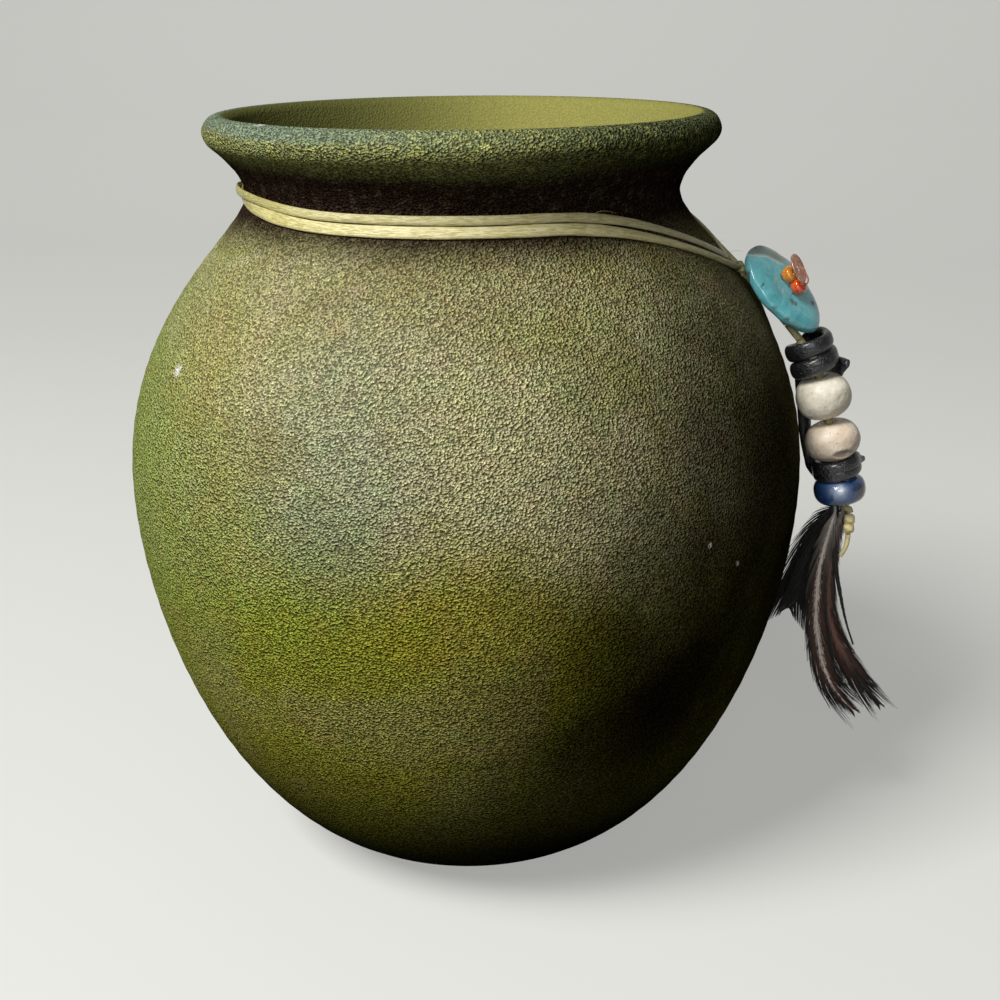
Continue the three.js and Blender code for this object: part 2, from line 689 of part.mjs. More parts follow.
// Feathers, each tucked by its quill into the blue bead's bore. Their lines start at the end of the beads.
const feathers = {
  feather_striped: {
    quillAt: -140,
    line: [[-2.1, -2, -4.4], [-3.4, -2.2, -10.3], [-4.1, -2.4, -19.5], [-3.7, -2.5, -27.2], [-2, -2.6, -35.9],
      [0.4, -2.6, -41.9], [3.6, -2.6, -46.2], [6.5, -2.6, -49]],
    width: 7,
    widest: 0.6,
    tip: 1.4,
    color: 0x4a4038,
  },
  feather_brown: {
    quillAt: 40,
    line: [[-0.1, 1, -4.9], [-0.9, 0.4, -10.2], [-1.4, 0, -19.4], [-0.7, -0.2, -26.8], [1.5, -0.3, -32.9],
      [4.8, -0.4, -38.5], [8.7, -0.4, -44.1], [12.5, -0.4, -48.4]],
    width: 5.4,
    widest: 0.7,
    tip: 0.8,
    color: 0x6b4a3c,
  },
  feather_wisp: {
    quillAt: -85,
    line: [[-1, -1.9, -4.6], [-0.9, -1.2, -10.1], [0.9, -1.2, -19.1], [2.9, -1.5, -26.9], [4.9, -1.6, -32.5]],
    width: 1,
    widest: 0.5,
    tip: 0.4,
    color: 0x1b1816,
  },
  feather_black: {
    quillAt: 100,
    line: [[-3.1, 2.6, -4.4], [-5.1, 3.2, -10.4], [-6.7, 3.8, -19.6], [-8.1, 4.4, -28.8]],
    width: 6.4,
    widest: 0.65,
    tip: 1.6,
    color: 0x121212,
  },
  feather_black_short: {
    quillAt: 170,
    line: [[-2.8, 0.7, -4.4], [-4.5, 1.4, -10.4], [-6.5, 1.9, -18.4], [-8.1, 2.2, -24.8]],
    width: 4.6,
    widest: 0.6,
    tip: 1.2,
    color: 0x161514,
  },
};
for (const [name, shape] of Object.entries(feathers)) {
  const line = [...quill(shape.quillAt), ...shape.line.map((p) => v3(...p).add(onTassel(stackEnd)))];
  add(name, featherGeometry({ ...shape, line }), finish(shape.color, 0.75));
}

export default jarPot;
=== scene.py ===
import math
import random

import bmesh
import bpy
from mathutils import Matrix, Vector, noise
from mathutils.geometry import interpolate_bezier


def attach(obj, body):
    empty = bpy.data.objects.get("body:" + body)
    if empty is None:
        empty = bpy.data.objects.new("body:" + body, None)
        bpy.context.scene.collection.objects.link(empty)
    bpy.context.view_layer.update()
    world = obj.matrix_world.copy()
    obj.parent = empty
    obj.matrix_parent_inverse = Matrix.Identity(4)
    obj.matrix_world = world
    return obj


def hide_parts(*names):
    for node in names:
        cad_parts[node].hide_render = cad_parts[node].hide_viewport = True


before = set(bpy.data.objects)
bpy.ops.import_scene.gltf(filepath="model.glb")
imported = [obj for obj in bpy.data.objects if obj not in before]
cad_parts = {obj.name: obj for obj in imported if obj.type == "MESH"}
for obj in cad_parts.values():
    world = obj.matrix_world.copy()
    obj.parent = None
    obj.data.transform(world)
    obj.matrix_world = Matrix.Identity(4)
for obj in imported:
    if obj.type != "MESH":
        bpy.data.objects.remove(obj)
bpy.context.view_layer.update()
mm = 0.001
rad = math.radians(1)

# Raku jar with a sinew tie and a hanging tassel. Shapes are worked out in millimetres in the CAD's own
# frame and become metres when a piece is finished.

photoCamera = {
    "place": (0.05287, -0.29983, 0.18332),
    "view": (-0.14160, 0.93253, -0.33216),
    "roll": -0.45,
    "lens": 50.4,
    "sensor": 36,
}


def linked(name, data):
    made = bpy.data.objects.new(name, data)
    bpy.context.scene.collection.objects.link(made)
    return made


def makeCamera(values):
    data = bpy.data.cameras.new("photoCamera")
    data.lens = values["lens"]
    data.sensor_width = values["sensor"]
    data.clip_start = 0.01
    camera = linked("photoCamera", data)
    view = Vector(values["view"]).normalized()
    right = view.cross(Vector((0, 0, 1))).normalized()
    turn = Matrix((right, right.cross(view), -view)).transposed()
    turn = turn @ Matrix.Rotation(values["roll"] * rad, 3, "Z")
    camera.matrix_world = Matrix.Translation(values["place"]) @ turn.to_4x4()
    bpy.context.scene.camera = camera


makeCamera(photoCamera)
print("camera placed")


# Small tools for routes and meshes

def lerp(a, b, share):
    return a + (b - a) * share


def smooth(share):
    share = min(max(share, 0), 1)
    return share * share * (3 - 2 * share)


def distances(points):
    along = [0]
    for a, b in zip(points, points[1:]):
        along.append(along[-1] + (b - a).length)
    return along


def evenly(points, steps):
    along = distances(points)
    made = []
    i = 0
    for k in range(steps + 1):
        wanted = along[-1] * k / steps
        while i < len(points) - 2 and along[i + 1] < wanted:
            i += 1
        step = max(along[i + 1] - along[i], 1e-9)
        made.append(points[i].lerp(points[i + 1], min((wanted - along[i]) / step, 1)))
    return made


# The smooth line that part.mjs draws through the same points
def smoothRoute(points, steps, fine=20):
    line = [Vector(p) for p in points]
    line = [2 * line[0] - line[1], *line, 2 * line[-1] - line[-2]]
    dense = []
    for i in range(1, len(line) - 2):
        a, b, c, d = line[i - 1:i + 3]
        knots = [0]
        for p, q in ((a, b), (b, c), (c, d)):
            knots.append(knots[-1] + max((q - p).length ** 0.5, 1e-6))
        for k in range(fine):
            t = lerp(knots[1], knots[2], k / fine)
            ab = a.lerp(b, (t - knots[0]) / (knots[1] - knots[0]))
            bc = b.lerp(c, (t - knots[1]) / (knots[2] - knots[1]))
            cd = c.lerp(d, (t - knots[2]) / (knots[3] - knots[2]))
            abc = ab.lerp(bc, (t - knots[0]) / (knots[2] - knots[0]))
            bcd = bc.lerp(cd, (t - knots[1]) / (knots[3] - knots[1]))
            dense.append(abc.lerp(bcd, (t - knots[1]) / (knots[2] - knots[1])))
    dense.append(line[-2])
    return evenly(dense, steps)


def directions(route):
    ways = []
    for i in range(len(route)):
        ways.append((route[min(i + 1, len(route) - 1)] - route[max(i - 1, 0)]).normalized())
    return ways


# Rolls a flat grid into a closed tube in `mesh`: place(angle, row) gives each point. The attribute "lie"
# keeps (cosine, sine, distance along), which patterns follow without a seam.
def rollTube(mesh, around, rows, place, along):
    lie = mesh.verts.layers.float_vector.get("lie") or mesh.verts.layers.float_vector.new("lie")
    made = bmesh.ops.create_grid(mesh, x_segments=around, y_segments=rows, size=1)["verts"]
    for vert in made:
        angle = (vert.co.x + 1) * math.pi
        row = round((vert.co.y + 1) / 2 * rows)
        vert[lie] = (math.cos(angle), math.sin(angle), along(row))
        vert.co = place(angle, row)
    bmesh.ops.remove_doubles(mesh, verts=made, dist=1e-5)
    made = [vert for vert in made if vert.is_valid]
    rim = {edge for vert in made for edge in vert.link_edges if edge.is_boundary}
    bmesh.ops.holes_fill(mesh, edges=list(rim), sides=0)
    return made


# A tube of oval section along a route. out(i) is the way its thickness points.
def sweep(mesh, route, around, width, thickness, out, ridge=None):
    along = distances(route)
    sides = []
    for i, way in enumerate(directions(route)):
        flat = out(i) - way * out(i).dot(way)
        flat.normalize()
        sides.append((way.cross(flat).normalized(), flat))

    def place(angle, row):
        side, flat = sides[row]
        rough = ridge(angle, along[row]) if ridge else 1
        return (route[row] + side * (math.cos(angle) * width(row) / 2 * rough)
                + flat * (math.sin(angle) * thickness(row) / 2 * rough))

    return rollTube(mesh, around, len(route) - 1, place, lambda row: along[row])


def meshObject(mesh, name, material=None):
    data = bpy.data.meshes.new(name)
    mesh.to_mesh(data)
    mesh.free()
    if material:
        data.materials.append(material)
    return linked(name, data)


def finished(mesh, name, material, body, node, slotName):
    bmesh.ops.recalc_face_normals(mesh, faces=mesh.faces)
    bmesh.ops.scale(mesh, vec=(mm, mm, mm), verts=mesh.verts)
    for face in mesh.faces:
        face.smooth = True
    piece = meshObject(mesh, name, material)
    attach(piece, body)
    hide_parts(node)
    return piece


# Turns a profile of (radius, height) points round +Z
def turned(profile, steps):
    mesh = bmesh.new()
    verts = [mesh.verts.new((r, 0, z)) for r, z in profile]
    edges = [mesh.edges.new(pair) for pair in zip(verts, verts[1:])]
    bmesh.ops.spin(mesh, geom=verts + edges, cent=(0, 0, 0), axis=(0, 0, 1), dvec=(0, 0, 0),
                   angle=2 * math.pi, steps=steps, use_merge=True)
    bmesh.ops.remove_doubles(mesh, verts=mesh.verts, dist=1e-5)
    return mesh


def stand(mesh, place, up):
    turn = Vector((0, 0, 1)).rotation_difference(Vector(up)).to_matrix().to_4x4()
    bmesh.ops.transform(mesh, matrix=Matrix.Translation(place) @ turn, verts=mesh.verts)


# Small tools for materials

def tone(code):
    parts = [int(code[i:i + 2], 16) / 255 for i in (1, 3, 5)]
    return tuple(p / 12.92 if p <= 0.04045 else ((p + 0.055) / 1.055) ** 2.4 for p in parts) + (1,)


def addNode(tree, kind, inputs=None, **settings):
    made = tree.nodes.new("ShaderNode" + kind)
    for name, value in settings.items():
        setattr(made, name, value)
    for name, value in (inputs or {}).items():
        if isinstance(value, bpy.types.NodeSocket):
            tree.links.new(value, made.inputs[name])
        else:
            made.inputs[name].default_value = value
    return made


def calc(tree, operation, a, b=0.0, clamp=False):
    return addNode(tree, "Math", {0: a, 1: b}, operation=operation, use_clamp=clamp).outputs[0]


def times(tree, *values):
    product = values[0]
    for value in values[1:]:
        product = calc(tree, "MULTIPLY", product, value)
    return product


def vectorMath(tree, operation, a, b=(0, 0, 0), output="Vector"):
    return addNode(tree, "VectorMath", {0: a, 1: b}, operation=operation).outputs[output]


def mixColor(tree, share, a, b, blend="MIX"):
    return addNode(tree, "Mix", {0: share, 6: a, 7: b}, data_type="RGBA", blend_type=blend).outputs[2]


def mapTo(tree, value, fromMin, fromMax, toMin=0.0, toMax=1.0, kind="SMOOTHSTEP"):
    values = {"Value": value, "From Min": fromMin, "From Max": fromMax, "To Min": toMin, "To Max": toMax}
    return addNode(tree, "MapRange", values, interpolation_type=kind).outputs[0]


def noiseAt(tree, vector, scale, detail=2.0, roughness=0.5, distortion=0.0, output="Fac"):
    values = {"Vector": vector, "Scale": scale, "Detail": detail, "Roughness": roughness}
    values["Distortion"] = distortion
    return addNode(tree, "TexNoise", values).outputs[output]


def stretched(tree, vector, scale, place=(0, 0, 0)):
    return addNode(tree, "Mapping", {"Vector": vector, "Location": place, "Scale": scale}).outputs[0]


def newMaterial(name, **shading):
    material = bpy.data.materials.new(name)
    material.use_nodes = True
    shader = material.node_tree.nodes["Principled BSDF"]
    for socket, value in shading.items():
        shader.inputs[socket.replace("_", " ")].default_value = value
    return material, material.node_tree, shader


def objectPlace(tree):
    return addNode(tree, "TexCoord").outputs["Object"]


def splitOf(tree, vector):
    return addNode(tree, "SeparateXYZ", {0: vector}).outputs


def relief(tree, shader, height, distance, strength=1.0, under=None):
    values = {"Height": height, "Distance": distance, "Strength": strength}
    if under:
        values["Normal"] = under
    tree.links.new(addNode(tree, "Bump", values).outputs[0], shader.inputs["Normal"])


def newGroup(name, inputs, outputs):
    group = bpy.data.node_groups.new(name, "ShaderNodeTree")
    for label, kind in inputs:
        group.interface.new_socket(label, in_out="INPUT", socket_type="NodeSocket" + kind)
    for label, kind in outputs:
        group.interface.new_socket(label, in_out="OUTPUT", socket_type="NodeSocket" + kind)
    return group, group.nodes.new("NodeGroupInput").outputs, group.nodes.new("NodeGroupOutput").inputs


def useGroup(tree, group, inputs):
    return addNode(tree, "Group", inputs, node_tree=group).outputs


# A soft spot with a ragged edge
def makeSoftPatch():
    group, given, result = newGroup(
        "softPatch",
        [("Vector", "Vector"), ("Centre", "Vector"), ("Size", "Vector"), ("Ragged", "Float"),
         ("Grain", "Float")],
        [("Mask", "Float")],
    )
    away = vectorMath(group, "SUBTRACT", given["Vector"], given["Centre"])
    reach = vectorMath(group, "LENGTH", vectorMath(group, "DIVIDE", away, given["Size"]), output="Value")
    rough = calc(group, "SUBTRACT", noiseAt(group, given["Vector"], given["Grain"], 4, 0.6), 0.5)
    reach = calc(group, "ADD", reach, times(group, rough, given["Ragged"]))
    group.links.new(mapTo(group, reach, 1.25, 0.0), result["Mask"])
    return group


# Wrinkled pebble grain, as on matte raku and on leather
def makePebbleGrain():
    group, given, result = newGroup(
        "pebbleGrain",
        [("Vector", "Vector"), ("Scale", "Float"), ("Warp", "Float")],
        [("Height", "Float"), ("Crest", "Float"), ("Valley", "Float")],
    )
    drift = noiseAt(group, given["Vector"], times(group, given["Scale"], 0.55), 1, 0.5, 0, "Color")
    drift = vectorMath(group, "SUBTRACT", drift, (0.5, 0.5, 0.5))
    reach = calc(group, "DIVIDE", given["Warp"], given["Scale"])
    drift = addNode(group, "VectorMath", {0: drift, "Scale": reach}, operation="SCALE").outputs[0]
    bent = vectorMath(group, "ADD", given["Vector"], drift)
    cells = addNode(group, "TexVoronoi", {"Vector": bent, "Scale": given["Scale"], "Smoothness": 0.45},
                    feature="SMOOTH_F1").outputs["Distance"]
    folds = noiseAt(group, bent, times(group, given["Scale"], 0.95), 1.5, 0.5, 0.2)
    height = calc(group, "SUBTRACT", times(group, folds, 1.3), cells)
    group.links.new(height, result["Height"])
    group.links.new(mapTo(group, height, 0.28, 0.5), result["Crest"])
    group.links.new(mapTo(group, height, 0.2, -0.06), result["Valley"])
    return group


# Fibres that run lengthwise, from a (cosine, sine, distance along) lie
def makeFibres():
    group, given, result = newGroup(
        "fibres",
        [("Lie", "Vector"), ("Count", "Float"), ("Run", "Float")],
        [("Height", "Float"), ("Shade", "Float")],
    )
    split = splitOf(group, given["Lie"])
    across = [times(group, split[axis], given["Count"]) for axis in (0, 1)]
    along = times(group, split[2], given["Run"])
    joined = addNode(group, "CombineXYZ", {0: across[0], 1: across[1], 2: along}).outputs[0]
    group.links.new(noiseAt(group, joined, 1, 3, 0.6, 0.3), result["Height"])
    slow = stretched(group, joined, (0.5, 0.5, 0.35), (3, 1, 7))
    group.links.new(noiseAt(group, slow, 1, 2, 0.5), result["Shade"])
    return group


softPatch = makeSoftPatch()
pebbleGrain = makePebbleGrain()
fibres = makeFibres()


def patchMask(tree, place, centre, size, ragged, grain):
    values = {"Vector": place, "Centre": centre, "Size": size, "Ragged": ragged, "Grain": grain}
    return useGroup(tree, softPatch, values)["Mask"]


def pebbles(tree, place, scale, warp):
    return useGroup(tree, pebbleGrain, {"Vector": place, "Scale": scale, "Warp": warp})


def lieOf(tree):
    return addNode(tree, "Attribute", attribute_name="lie").outputs["Vector"]


# Jar

jarShape = {
    "height": 163, "lipRadius": 54, "lipRoll": 3.4, "neckRadius": 45.9, "neckHeight": 147,
    "bellyRadius": 74.1, "bellyHeight": 86, "footRadius": 33.5, "wall": 5, "floor": 7,
    "footRing": 5, "footRecess": 2.4, "footRounding": 0.8, "footSpread": 27, "footLift": 13,
    "bellyPull": 28, "shoulderPull": 37, "neckPull": 8,
    "steps": 240, "throwingLines": 0.05, "handWobble": 0.12,
    "swell": 2.9, "swellTurn": 21, "swellHeight": 121, "swellWidth": 10, "swellTall": 10,
}


def bezier(a, b, c, d, count):
    points = interpolate_bezier(*[Vector((*p, 0)) for p in (a, b, c, d)], count)
    return [(p.x, p.y) for p in points]


def curvesOf(jar):
    foot = (jar["footRadius"], jar["footRounding"])
    belly = (jar["bellyRadius"], jar["bellyHeight"])
    neck = (jar["neckRadius"], jar["neckHeight"])
    lower = (foot, (foot[0] + jar["footSpread"], foot[1] + jar["footLift"]),
             (belly[0], belly[1] - jar["bellyPull"]), belly)
    shoulder = (belly, (belly[0], belly[1] + jar["shoulderPull"]), (neck[0], neck[1] - jar["neckPull"]), neck)
    return lower, shoulder


def onLip(jar, angle):
    centre = (jar["lipRadius"] - jar["lipRoll"], jar["height"] - jar["lipRoll"])
    return (centre[0] + jar["lipRoll"] * math.cos(angle), centre[1] + jar["lipRoll"] * math.sin(angle))


# A flare that leaves the upright neck and meets the lip's roll at its own slope
def flareOf(neck, lip, angle, count):
    reach = (lip[0] - neck[0]) / -math.sin(angle)
    bend = (neck[0], lip[1] - reach * math.cos(angle))
    first = (lerp(neck[0], bend[0], 2 / 3), lerp(neck[1], bend[1], 2 / 3))
    second = (lerp(lip[0], bend[0], 2 / 3), lerp(lip[1], bend[1], 2 / 3))
    return bezier(neck, first, second, lip, count)


def insideOf(points, wall):
    made = []
    for i, (r, z) in enumerate(points):
        before, after = points[max(i - 1, 0)], points[min(i + 1, len(points) - 1)]
        dr, dz = after[0] - before[0], after[1] - before[1]
        size = math.hypot(dr, dz)
        made.append((r - wall * dz / size, z + wall * dr / size))
    return made


lowerCurve, shoulderCurve = curvesOf(jarShape)
shoulderLine = bezier(*shoulderCurve, 240)
lipUnder, lipInside = -50 * rad, 150 * rad
neckPoint = (jarShape["neckRadius"], jarShape["neckHeight"])
outerFlare = flareOf(neckPoint, onLip(jarShape, lipUnder), lipUnder, 40)


def jarProfile(jar):
    ringInside = jar["footRadius"] - jar["footRing"]
    rows = [(0, jar["footRecess"]), (ringInside * 0.5, jar["footRecess"]),
            (ringInside - 1.2, jar["footRecess"]), (ringInside - 0.3, 0.5), (ringInside, 0),
            (jar["footRadius"] - jar["footRounding"], 0), (jar["footRadius"] - 0.25, 0.22)]
    rows += bezier(*lowerCurve, 48)
    rows += bezier(*shoulderCurve, 52)[1:]
    rows += flareOf(neckPoint, onLip(jar, lipUnder), lipUnder, 10)[1:-1]
    rows += [onLip(jar, lerp(lipUnder, lipInside, i / 20)) for i in range(21)]
    innerNeck = (jar["neckRadius"] - jar["wall"], jar["neckHeight"])
    rows += flareOf(innerNeck, onLip(jar, lipInside), lipInside, 9)[::-1][1:]
    rows += insideOf(bezier(*shoulderCurve, 26), jar["wall"])[::-1][1:]
    below = insideOf(bezier(*lowerCurve, 26), jar["wall"])[::-1][1:]
    rows += [p for p in below if p[1] > jar["floor"] + jar["wall"]]
    corner = rows[-1]
    for inwards, up in ((3, 3), (7, 0.8), (12, 0)):
        rows.append((corner[0] - inwards, jar["floor"] + up))
    return rows + [(0, jar["floor"])]


# Firing flushes on the jar, the dark ones towards +X partly painted shade: the centre and the spread in
# metres, how ragged the edge is, how strong the flush is, and its colour
rakuFlushes = {
    "leftGreen": ((-0.060, -0.040, 0.095), (0.034, 0.056, 0.060), 0.5, 0.75, "#91a453"),
    "leftGold": ((-0.041, -0.050, 0.121), (0.016, 0.026, 0.018), 1.0, 0.55, "#a99f58"),
    "lowGreenLeft": ((-0.026, -0.068, 0.078), (0.032, 0.036, 0.026), 0.8, 0.6, "#8f9d3a"),
    "greenGold": ((-0.033, -0.066, 0.091), (0.012, 0.024, 0.014), 1.2, 0.5, "#9ba05c"),
    "greyTeal": ((-0.010, -0.069, 0.106), (0.020, 0.034, 0.028), 0.9, 0.6, "#9aa284"),
    "tealLow": ((-0.012, -0.071, 0.093), (0.014, 0.030, 0.012), 1.2, 0.5, "#88966e"),
    "topUmber": ((0.007, -0.053, 0.135), (0.046, 0.034, 0.012), 0.9, 0.5, "#958d69"),
    "mossUpper": ((0.024, -0.055, 0.128), (0.012, 0.022, 0.006), 1.6, 0.45, "#959a50"),
    "mossRight": ((0.036, -0.055, 0.118), (0.012, 0.022, 0.008), 1.6, 0.45, "#8d934c"),
    "oliveYellow": ((0.012, -0.0725, 0.079), (0.027, 0.034, 0.020), 0.8, 0.65, "#98902a"),
    "rightGreenish": ((0.051, -0.034, 0.125), (0.018, 0.026, 0.016), 0.8, 0.5, "#5f6440"),
    # towards +X, the side away from the light, the flushes are partly smoke and partly painted shade
    "rightSmokeAndShade": ((0.066, -0.034, 0.097), (0.048, 0.062, 0.068), 0.5, 0.92, "#2a2413"),
    "lowerRightShade": ((0.048, -0.050, 0.053), (0.042, 0.052, 0.048), 0.6, 0.92, "#171205"),
    "redBrownShade": ((0.043, -0.051, 0.040), (0.030, 0.036, 0.026), 0.7, 0.8, "#130b04"),
    "rightEdgeShade": ((0.068, -0.006, 0.066), (0.032, 0.036, 0.064), 0.4, 0.85, "#110e05"),
    "backUmber": ((0.010, 0.070, 0.102), (0.046, 0.036, 0.046), 0.9, 0.7, "#6f6549"),
    "backGreen": ((-0.050, 0.050, 0.080), (0.040, 0.036, 0.040), 0.9, 0.7, "#77844a"),
}
# Bare white flecks, with how far each one spreads
rakuFlecks = [((-0.0495, -0.0448, 0.1165), 0.0016), ((-0.0308, -0.0403, 0.1629), 0.0013),
              ((0.0550, -0.0496, 0.0869), 0.0007), ((0.0604, -0.0425, 0.0807), 0.0007)]
# Colours of the jar's bands. The dark bands low down, round the foot, on the neck, and on the lip and the
# inside wall towards one side are partly painted shade; valley and crest darken and lighten the grain as
# painted shade and painted highlight
rakuBands = {
    "upper": "#b3ae82", "lower": "#8e8d34", "lowEnd": "#4e4c1c", "patch": "#959056", "neck": "#33261f",
    "neckGrey": "#514937", "lip": "#878d5c", "lipRightShade": "#464c2c", "lipTop": "#7d9184",
    "lipGlint": "#b9b765", "footBand": "#262a1e", "footRightShade": "#0d0d06", "inside": "#878448",
    "insideLeftShade": "#57582f", "fleck": "#e9e9df", "valley": (0.3, 0.28, 0.24, 1), "crest": (2.0, 1.97, 1.85, 1),
    "valleyShare": 0.78, "crestShare": 0.8, "grainPitch": 0.00049, "grainDepth": 0.0008, "flushGrain": 60,
}
# Heights in metres over which one band of colour gives way to the next
rakuHeights = {
    "upper": (0.070, 0.098), "lowEnd": (0.054, 0.012), "footBand": (0.022, 0.006),
    "footRightShade": (0.040, 0.010), "neck": (0.136, 0.1445), "lip": (0.1525, 0.1575),
    "lipGlint": (0.1535, 0.159), "lipTop": (0.1590, 0.1615), "inside": (0.130, 0.146),
}


def rakuClay(bands, flushes, heights):
    material, tree, shader = newMaterial("rakuClay", Specular_IOR_Level=0.0)
    place = objectPlace(tree)
    split = splitOf(tree, place)
    wander = times(tree, calc(tree, "SUBTRACT", noiseAt(tree, place, 30, 4, 0.6), 0.5), 0.03)
    height = calc(tree, "ADD", split[2], wander)
    color = mixColor(tree, mapTo(tree, height, *heights["upper"]), tone(bands["lower"]), tone(bands["upper"]))
    slow = noiseAt(tree, place, 26, 5, 0.62, 0.8)
    color = mixColor(tree, mapTo(tree, slow, 0.42, 0.62, 0, 0.7), color, tone(bands["patch"]))
    for at, size, ragged, share, shade in flushes.values():
        mask = times(tree, patchMask(tree, place, at, size, ragged, bands["flushGrain"]), share)
        color = mixColor(tree, mask, color, tone(shade))
    # fine drifts of colour, a few millimetres across
    drift = noiseAt(tree, place, 190, 3, 0.6, 0.5, "Color")
    color = mixColor(tree, 0.22, color, drift, "SOFT_LIGHT")
    height = calc(tree, "ADD", split[2], times(tree, wander, 0.2))
    # darker towards the bottom and in a band round the foot: partly the clay's own colour and partly painted
    # shade where the belly turns under
    for name in ("lowEnd", "footBand"):
        color = mixColor(tree, mapTo(tree, height, *heights[name]), color, tone(bands[name]))
    # painted shade: the foot is darker on the side towards +X, away from the light
    rightShare = mapTo(tree, split[0], -0.018, 0.022, 0, 0.85)
    footRightShade = times(tree, mapTo(tree, height, *heights["footRightShade"]), rightShare)
    color = mixColor(tree, footRightShade, color, tone(bands["footRightShade"]))
    # the neck band: partly the clay's own dark purple-brown and partly painted shade under the lip
    ashes = mapTo(tree, noiseAt(tree, place, 520, 3, 0.65), 0.5, 0.66, 0, 0.75)
    neckShade = mixColor(tree, ashes, tone(bands["neck"]), tone(bands["neckGrey"]))
    color = mixColor(tree, mapTo(tree, height, *heights["neck"]), color, neckShade)
    # painted shade: the lip turns darker towards +X, away from the light
    rightShare = mapTo(tree, split[0], 0.004, 0.044)
    lipShade = mixColor(tree, rightShare, tone(bands["lip"]), tone(bands["lipRightShade"]))
    color = mixColor(tree, mapTo(tree, height, *heights["lip"]), color, lipShade)
    # glints and a teal flush along the lip, stronger on the side towards -X
    sparks = mapTo(tree, noiseAt(tree, place, 640, 3, 0.65), 0.46, 0.66)
    leftShare = mapTo(tree, split[0], 0.05, 0, 0.3, 0.65)
    glint = times(tree, sparks, mapTo(tree, height, *heights["lipGlint"]), leftShare)
    color = mixColor(tree, glint, color, tone(bands["lipGlint"]))
    leftShare = mapTo(tree, split[0], 0.02, -0.03, 0.1, 0.7)
    teal = times(tree, mapTo(tree, height, *heights["lipTop"]), leftShare)
    color = mixColor(tree, teal, color, tone(bands["lipTop"]))
    # the inside of the pot
    radius = vectorMath(tree, "LENGTH", vectorMath(tree, "MULTIPLY", place, (1, 1, 0)), output="Value")
    wallMiddle = mapTo(tree, split[2], 0.146, 0.163, 0.0435, 0.0505, "LINEAR")
    wallInside = calc(tree, "SUBTRACT", radius, wallMiddle)
    inner = times(tree, mapTo(tree, wallInside, 0.0005, -0.001), mapTo(tree, split[2], *heights["inside"]))
    # painted shade: the inside is darker towards -X, where the rim keeps the light off the wall
    leftShare = mapTo(tree, split[0], 0.012, -0.040)
    innerShade = mixColor(tree, leftShare, tone(bands["inside"]), tone(bands["insideLeftShade"]))
    color = mixColor(tree, inner, color, innerShade)
    grainPlace = stretched(tree, place, (1, 1, 1.15))
    grain = pebbles(tree, grainPlace, 1 / bands["grainPitch"], 0.7)
    # the wall inside is worn smoother
    outside = mapTo(tree, inner, 0, 1, 1, 0.2, "LINEAR")
    # painted shade darkens the grain's valleys and painted highlight lightens its crests
    for part in ("valley", "crest"):
        lit = mixColor(tree, 1, color, bands[part], "MULTIPLY")
        share = times(tree, grain[part.title()], bands[part + "Share"], outside)
        color = mixColor(tree, share, color, lit)
    for at, size in rakuFlecks:
        fleck = patchMask(tree, place, at, (size,) * 3, 1.3, 1200)
        color = mixColor(tree, fleck, color, tone(bands["fleck"]))
    tree.links.new(color, shader.inputs["Base Color"])
    tree.links.new(mapTo(tree, grain["Crest"], 0, 1, 0.66, 0.44, "LINEAR"), shader.inputs["Roughness"])
    relief(tree, shader, times(tree, grain["Height"], outside), bands["grainDepth"])
    return material


def makeJar(jar):
    mesh = turned(jarProfile(jar), jar["steps"])
    for vert in mesh.verts:
        flat = Vector((vert.co.x, vert.co.y, 0))
        if flat.length < 1 or vert.co.z < 3:
            continue
        way = flat.normalized()
        rings = math.sin(vert.co.z * 1.9 + 2 * noise.noise(vert.co * 0.03)) * jar["throwingLines"]
        wobble = noise.noise(vert.co * 0.018) * jar["handWobble"]
        # a slight swell of the shoulder behind the slab
        turn = math.degrees(math.atan2(vert.co.y, vert.co.x))
        aside = (turn - jar["swellTurn"]) / jar["swellWidth"]
        above = (vert.co.z - jar["swellHeight"]) / jar["swellTall"]
        vert.co += way * (rings + wobble + jar["swell"] * math.exp(-aside ** 2 - above ** 2))
    clay = rakuClay(rakuBands, rakuFlushes, rakuHeights)
    return finished(mesh, "rakuJar", clay, "jar", "jar", "raku_clay")


makeJar(jarShape)
print("jar turned")


# Sinew: the tie round the neck, its knot and the strands

def sinewMaterial(name, pale, deep, warm, roughness=0.42):
    material, tree, shader = newMaterial(name, Roughness=roughness, IOR=1.5)
    strand = useGroup(tree, fibres, {"Lie": lieOf(tree), "Count": 4.5, "Run": 0.5})
    place = objectPlace(tree)
    blotch = noiseAt(tree, place, 160, 3, 0.6)
    color = mixColor(tree, mapTo(tree, strand["Height"], 0.38, 0.62), tone(deep), tone(pale))
    color = mixColor(tree, mapTo(tree, strand["Shade"], 0.55, 0.75, 0, 0.6), color, tone(warm))
    color = mixColor(tree, mapTo(tree, blotch, 0.35, 0.7, 0, 0.45), color, tone(pale))
    # yellower where it runs round the left of the neck
    leftShare = mapTo(tree, splitOf(tree, place)[0], -0.012, -0.046)
    color = mixColor(tree, leftShare, color, (0.68, 0.68, 0.42, 1), "MULTIPLY")
    tree.links.new(color, shader.inputs["Base Color"])
    relief(tree, shader, strand["Height"], 0.00022, 0.9)
    return material


paleSinew = sinewMaterial("paleSinew", "#ded6a4", "#aea15e", "#c8ba7e")
# a yellower sinew for the end knot and tail, made brighter than the sinew's own colour as painted light
yellowSinewPaintedLight = sinewMaterial("yellowSinewPaintedLight", "#fff2b8", "#ecd488", "#fae49a", 0.28)
tanSinew = sinewMaterial("tanSinew", "#d39a78", "#a86c50", "#c08662", 0.4)

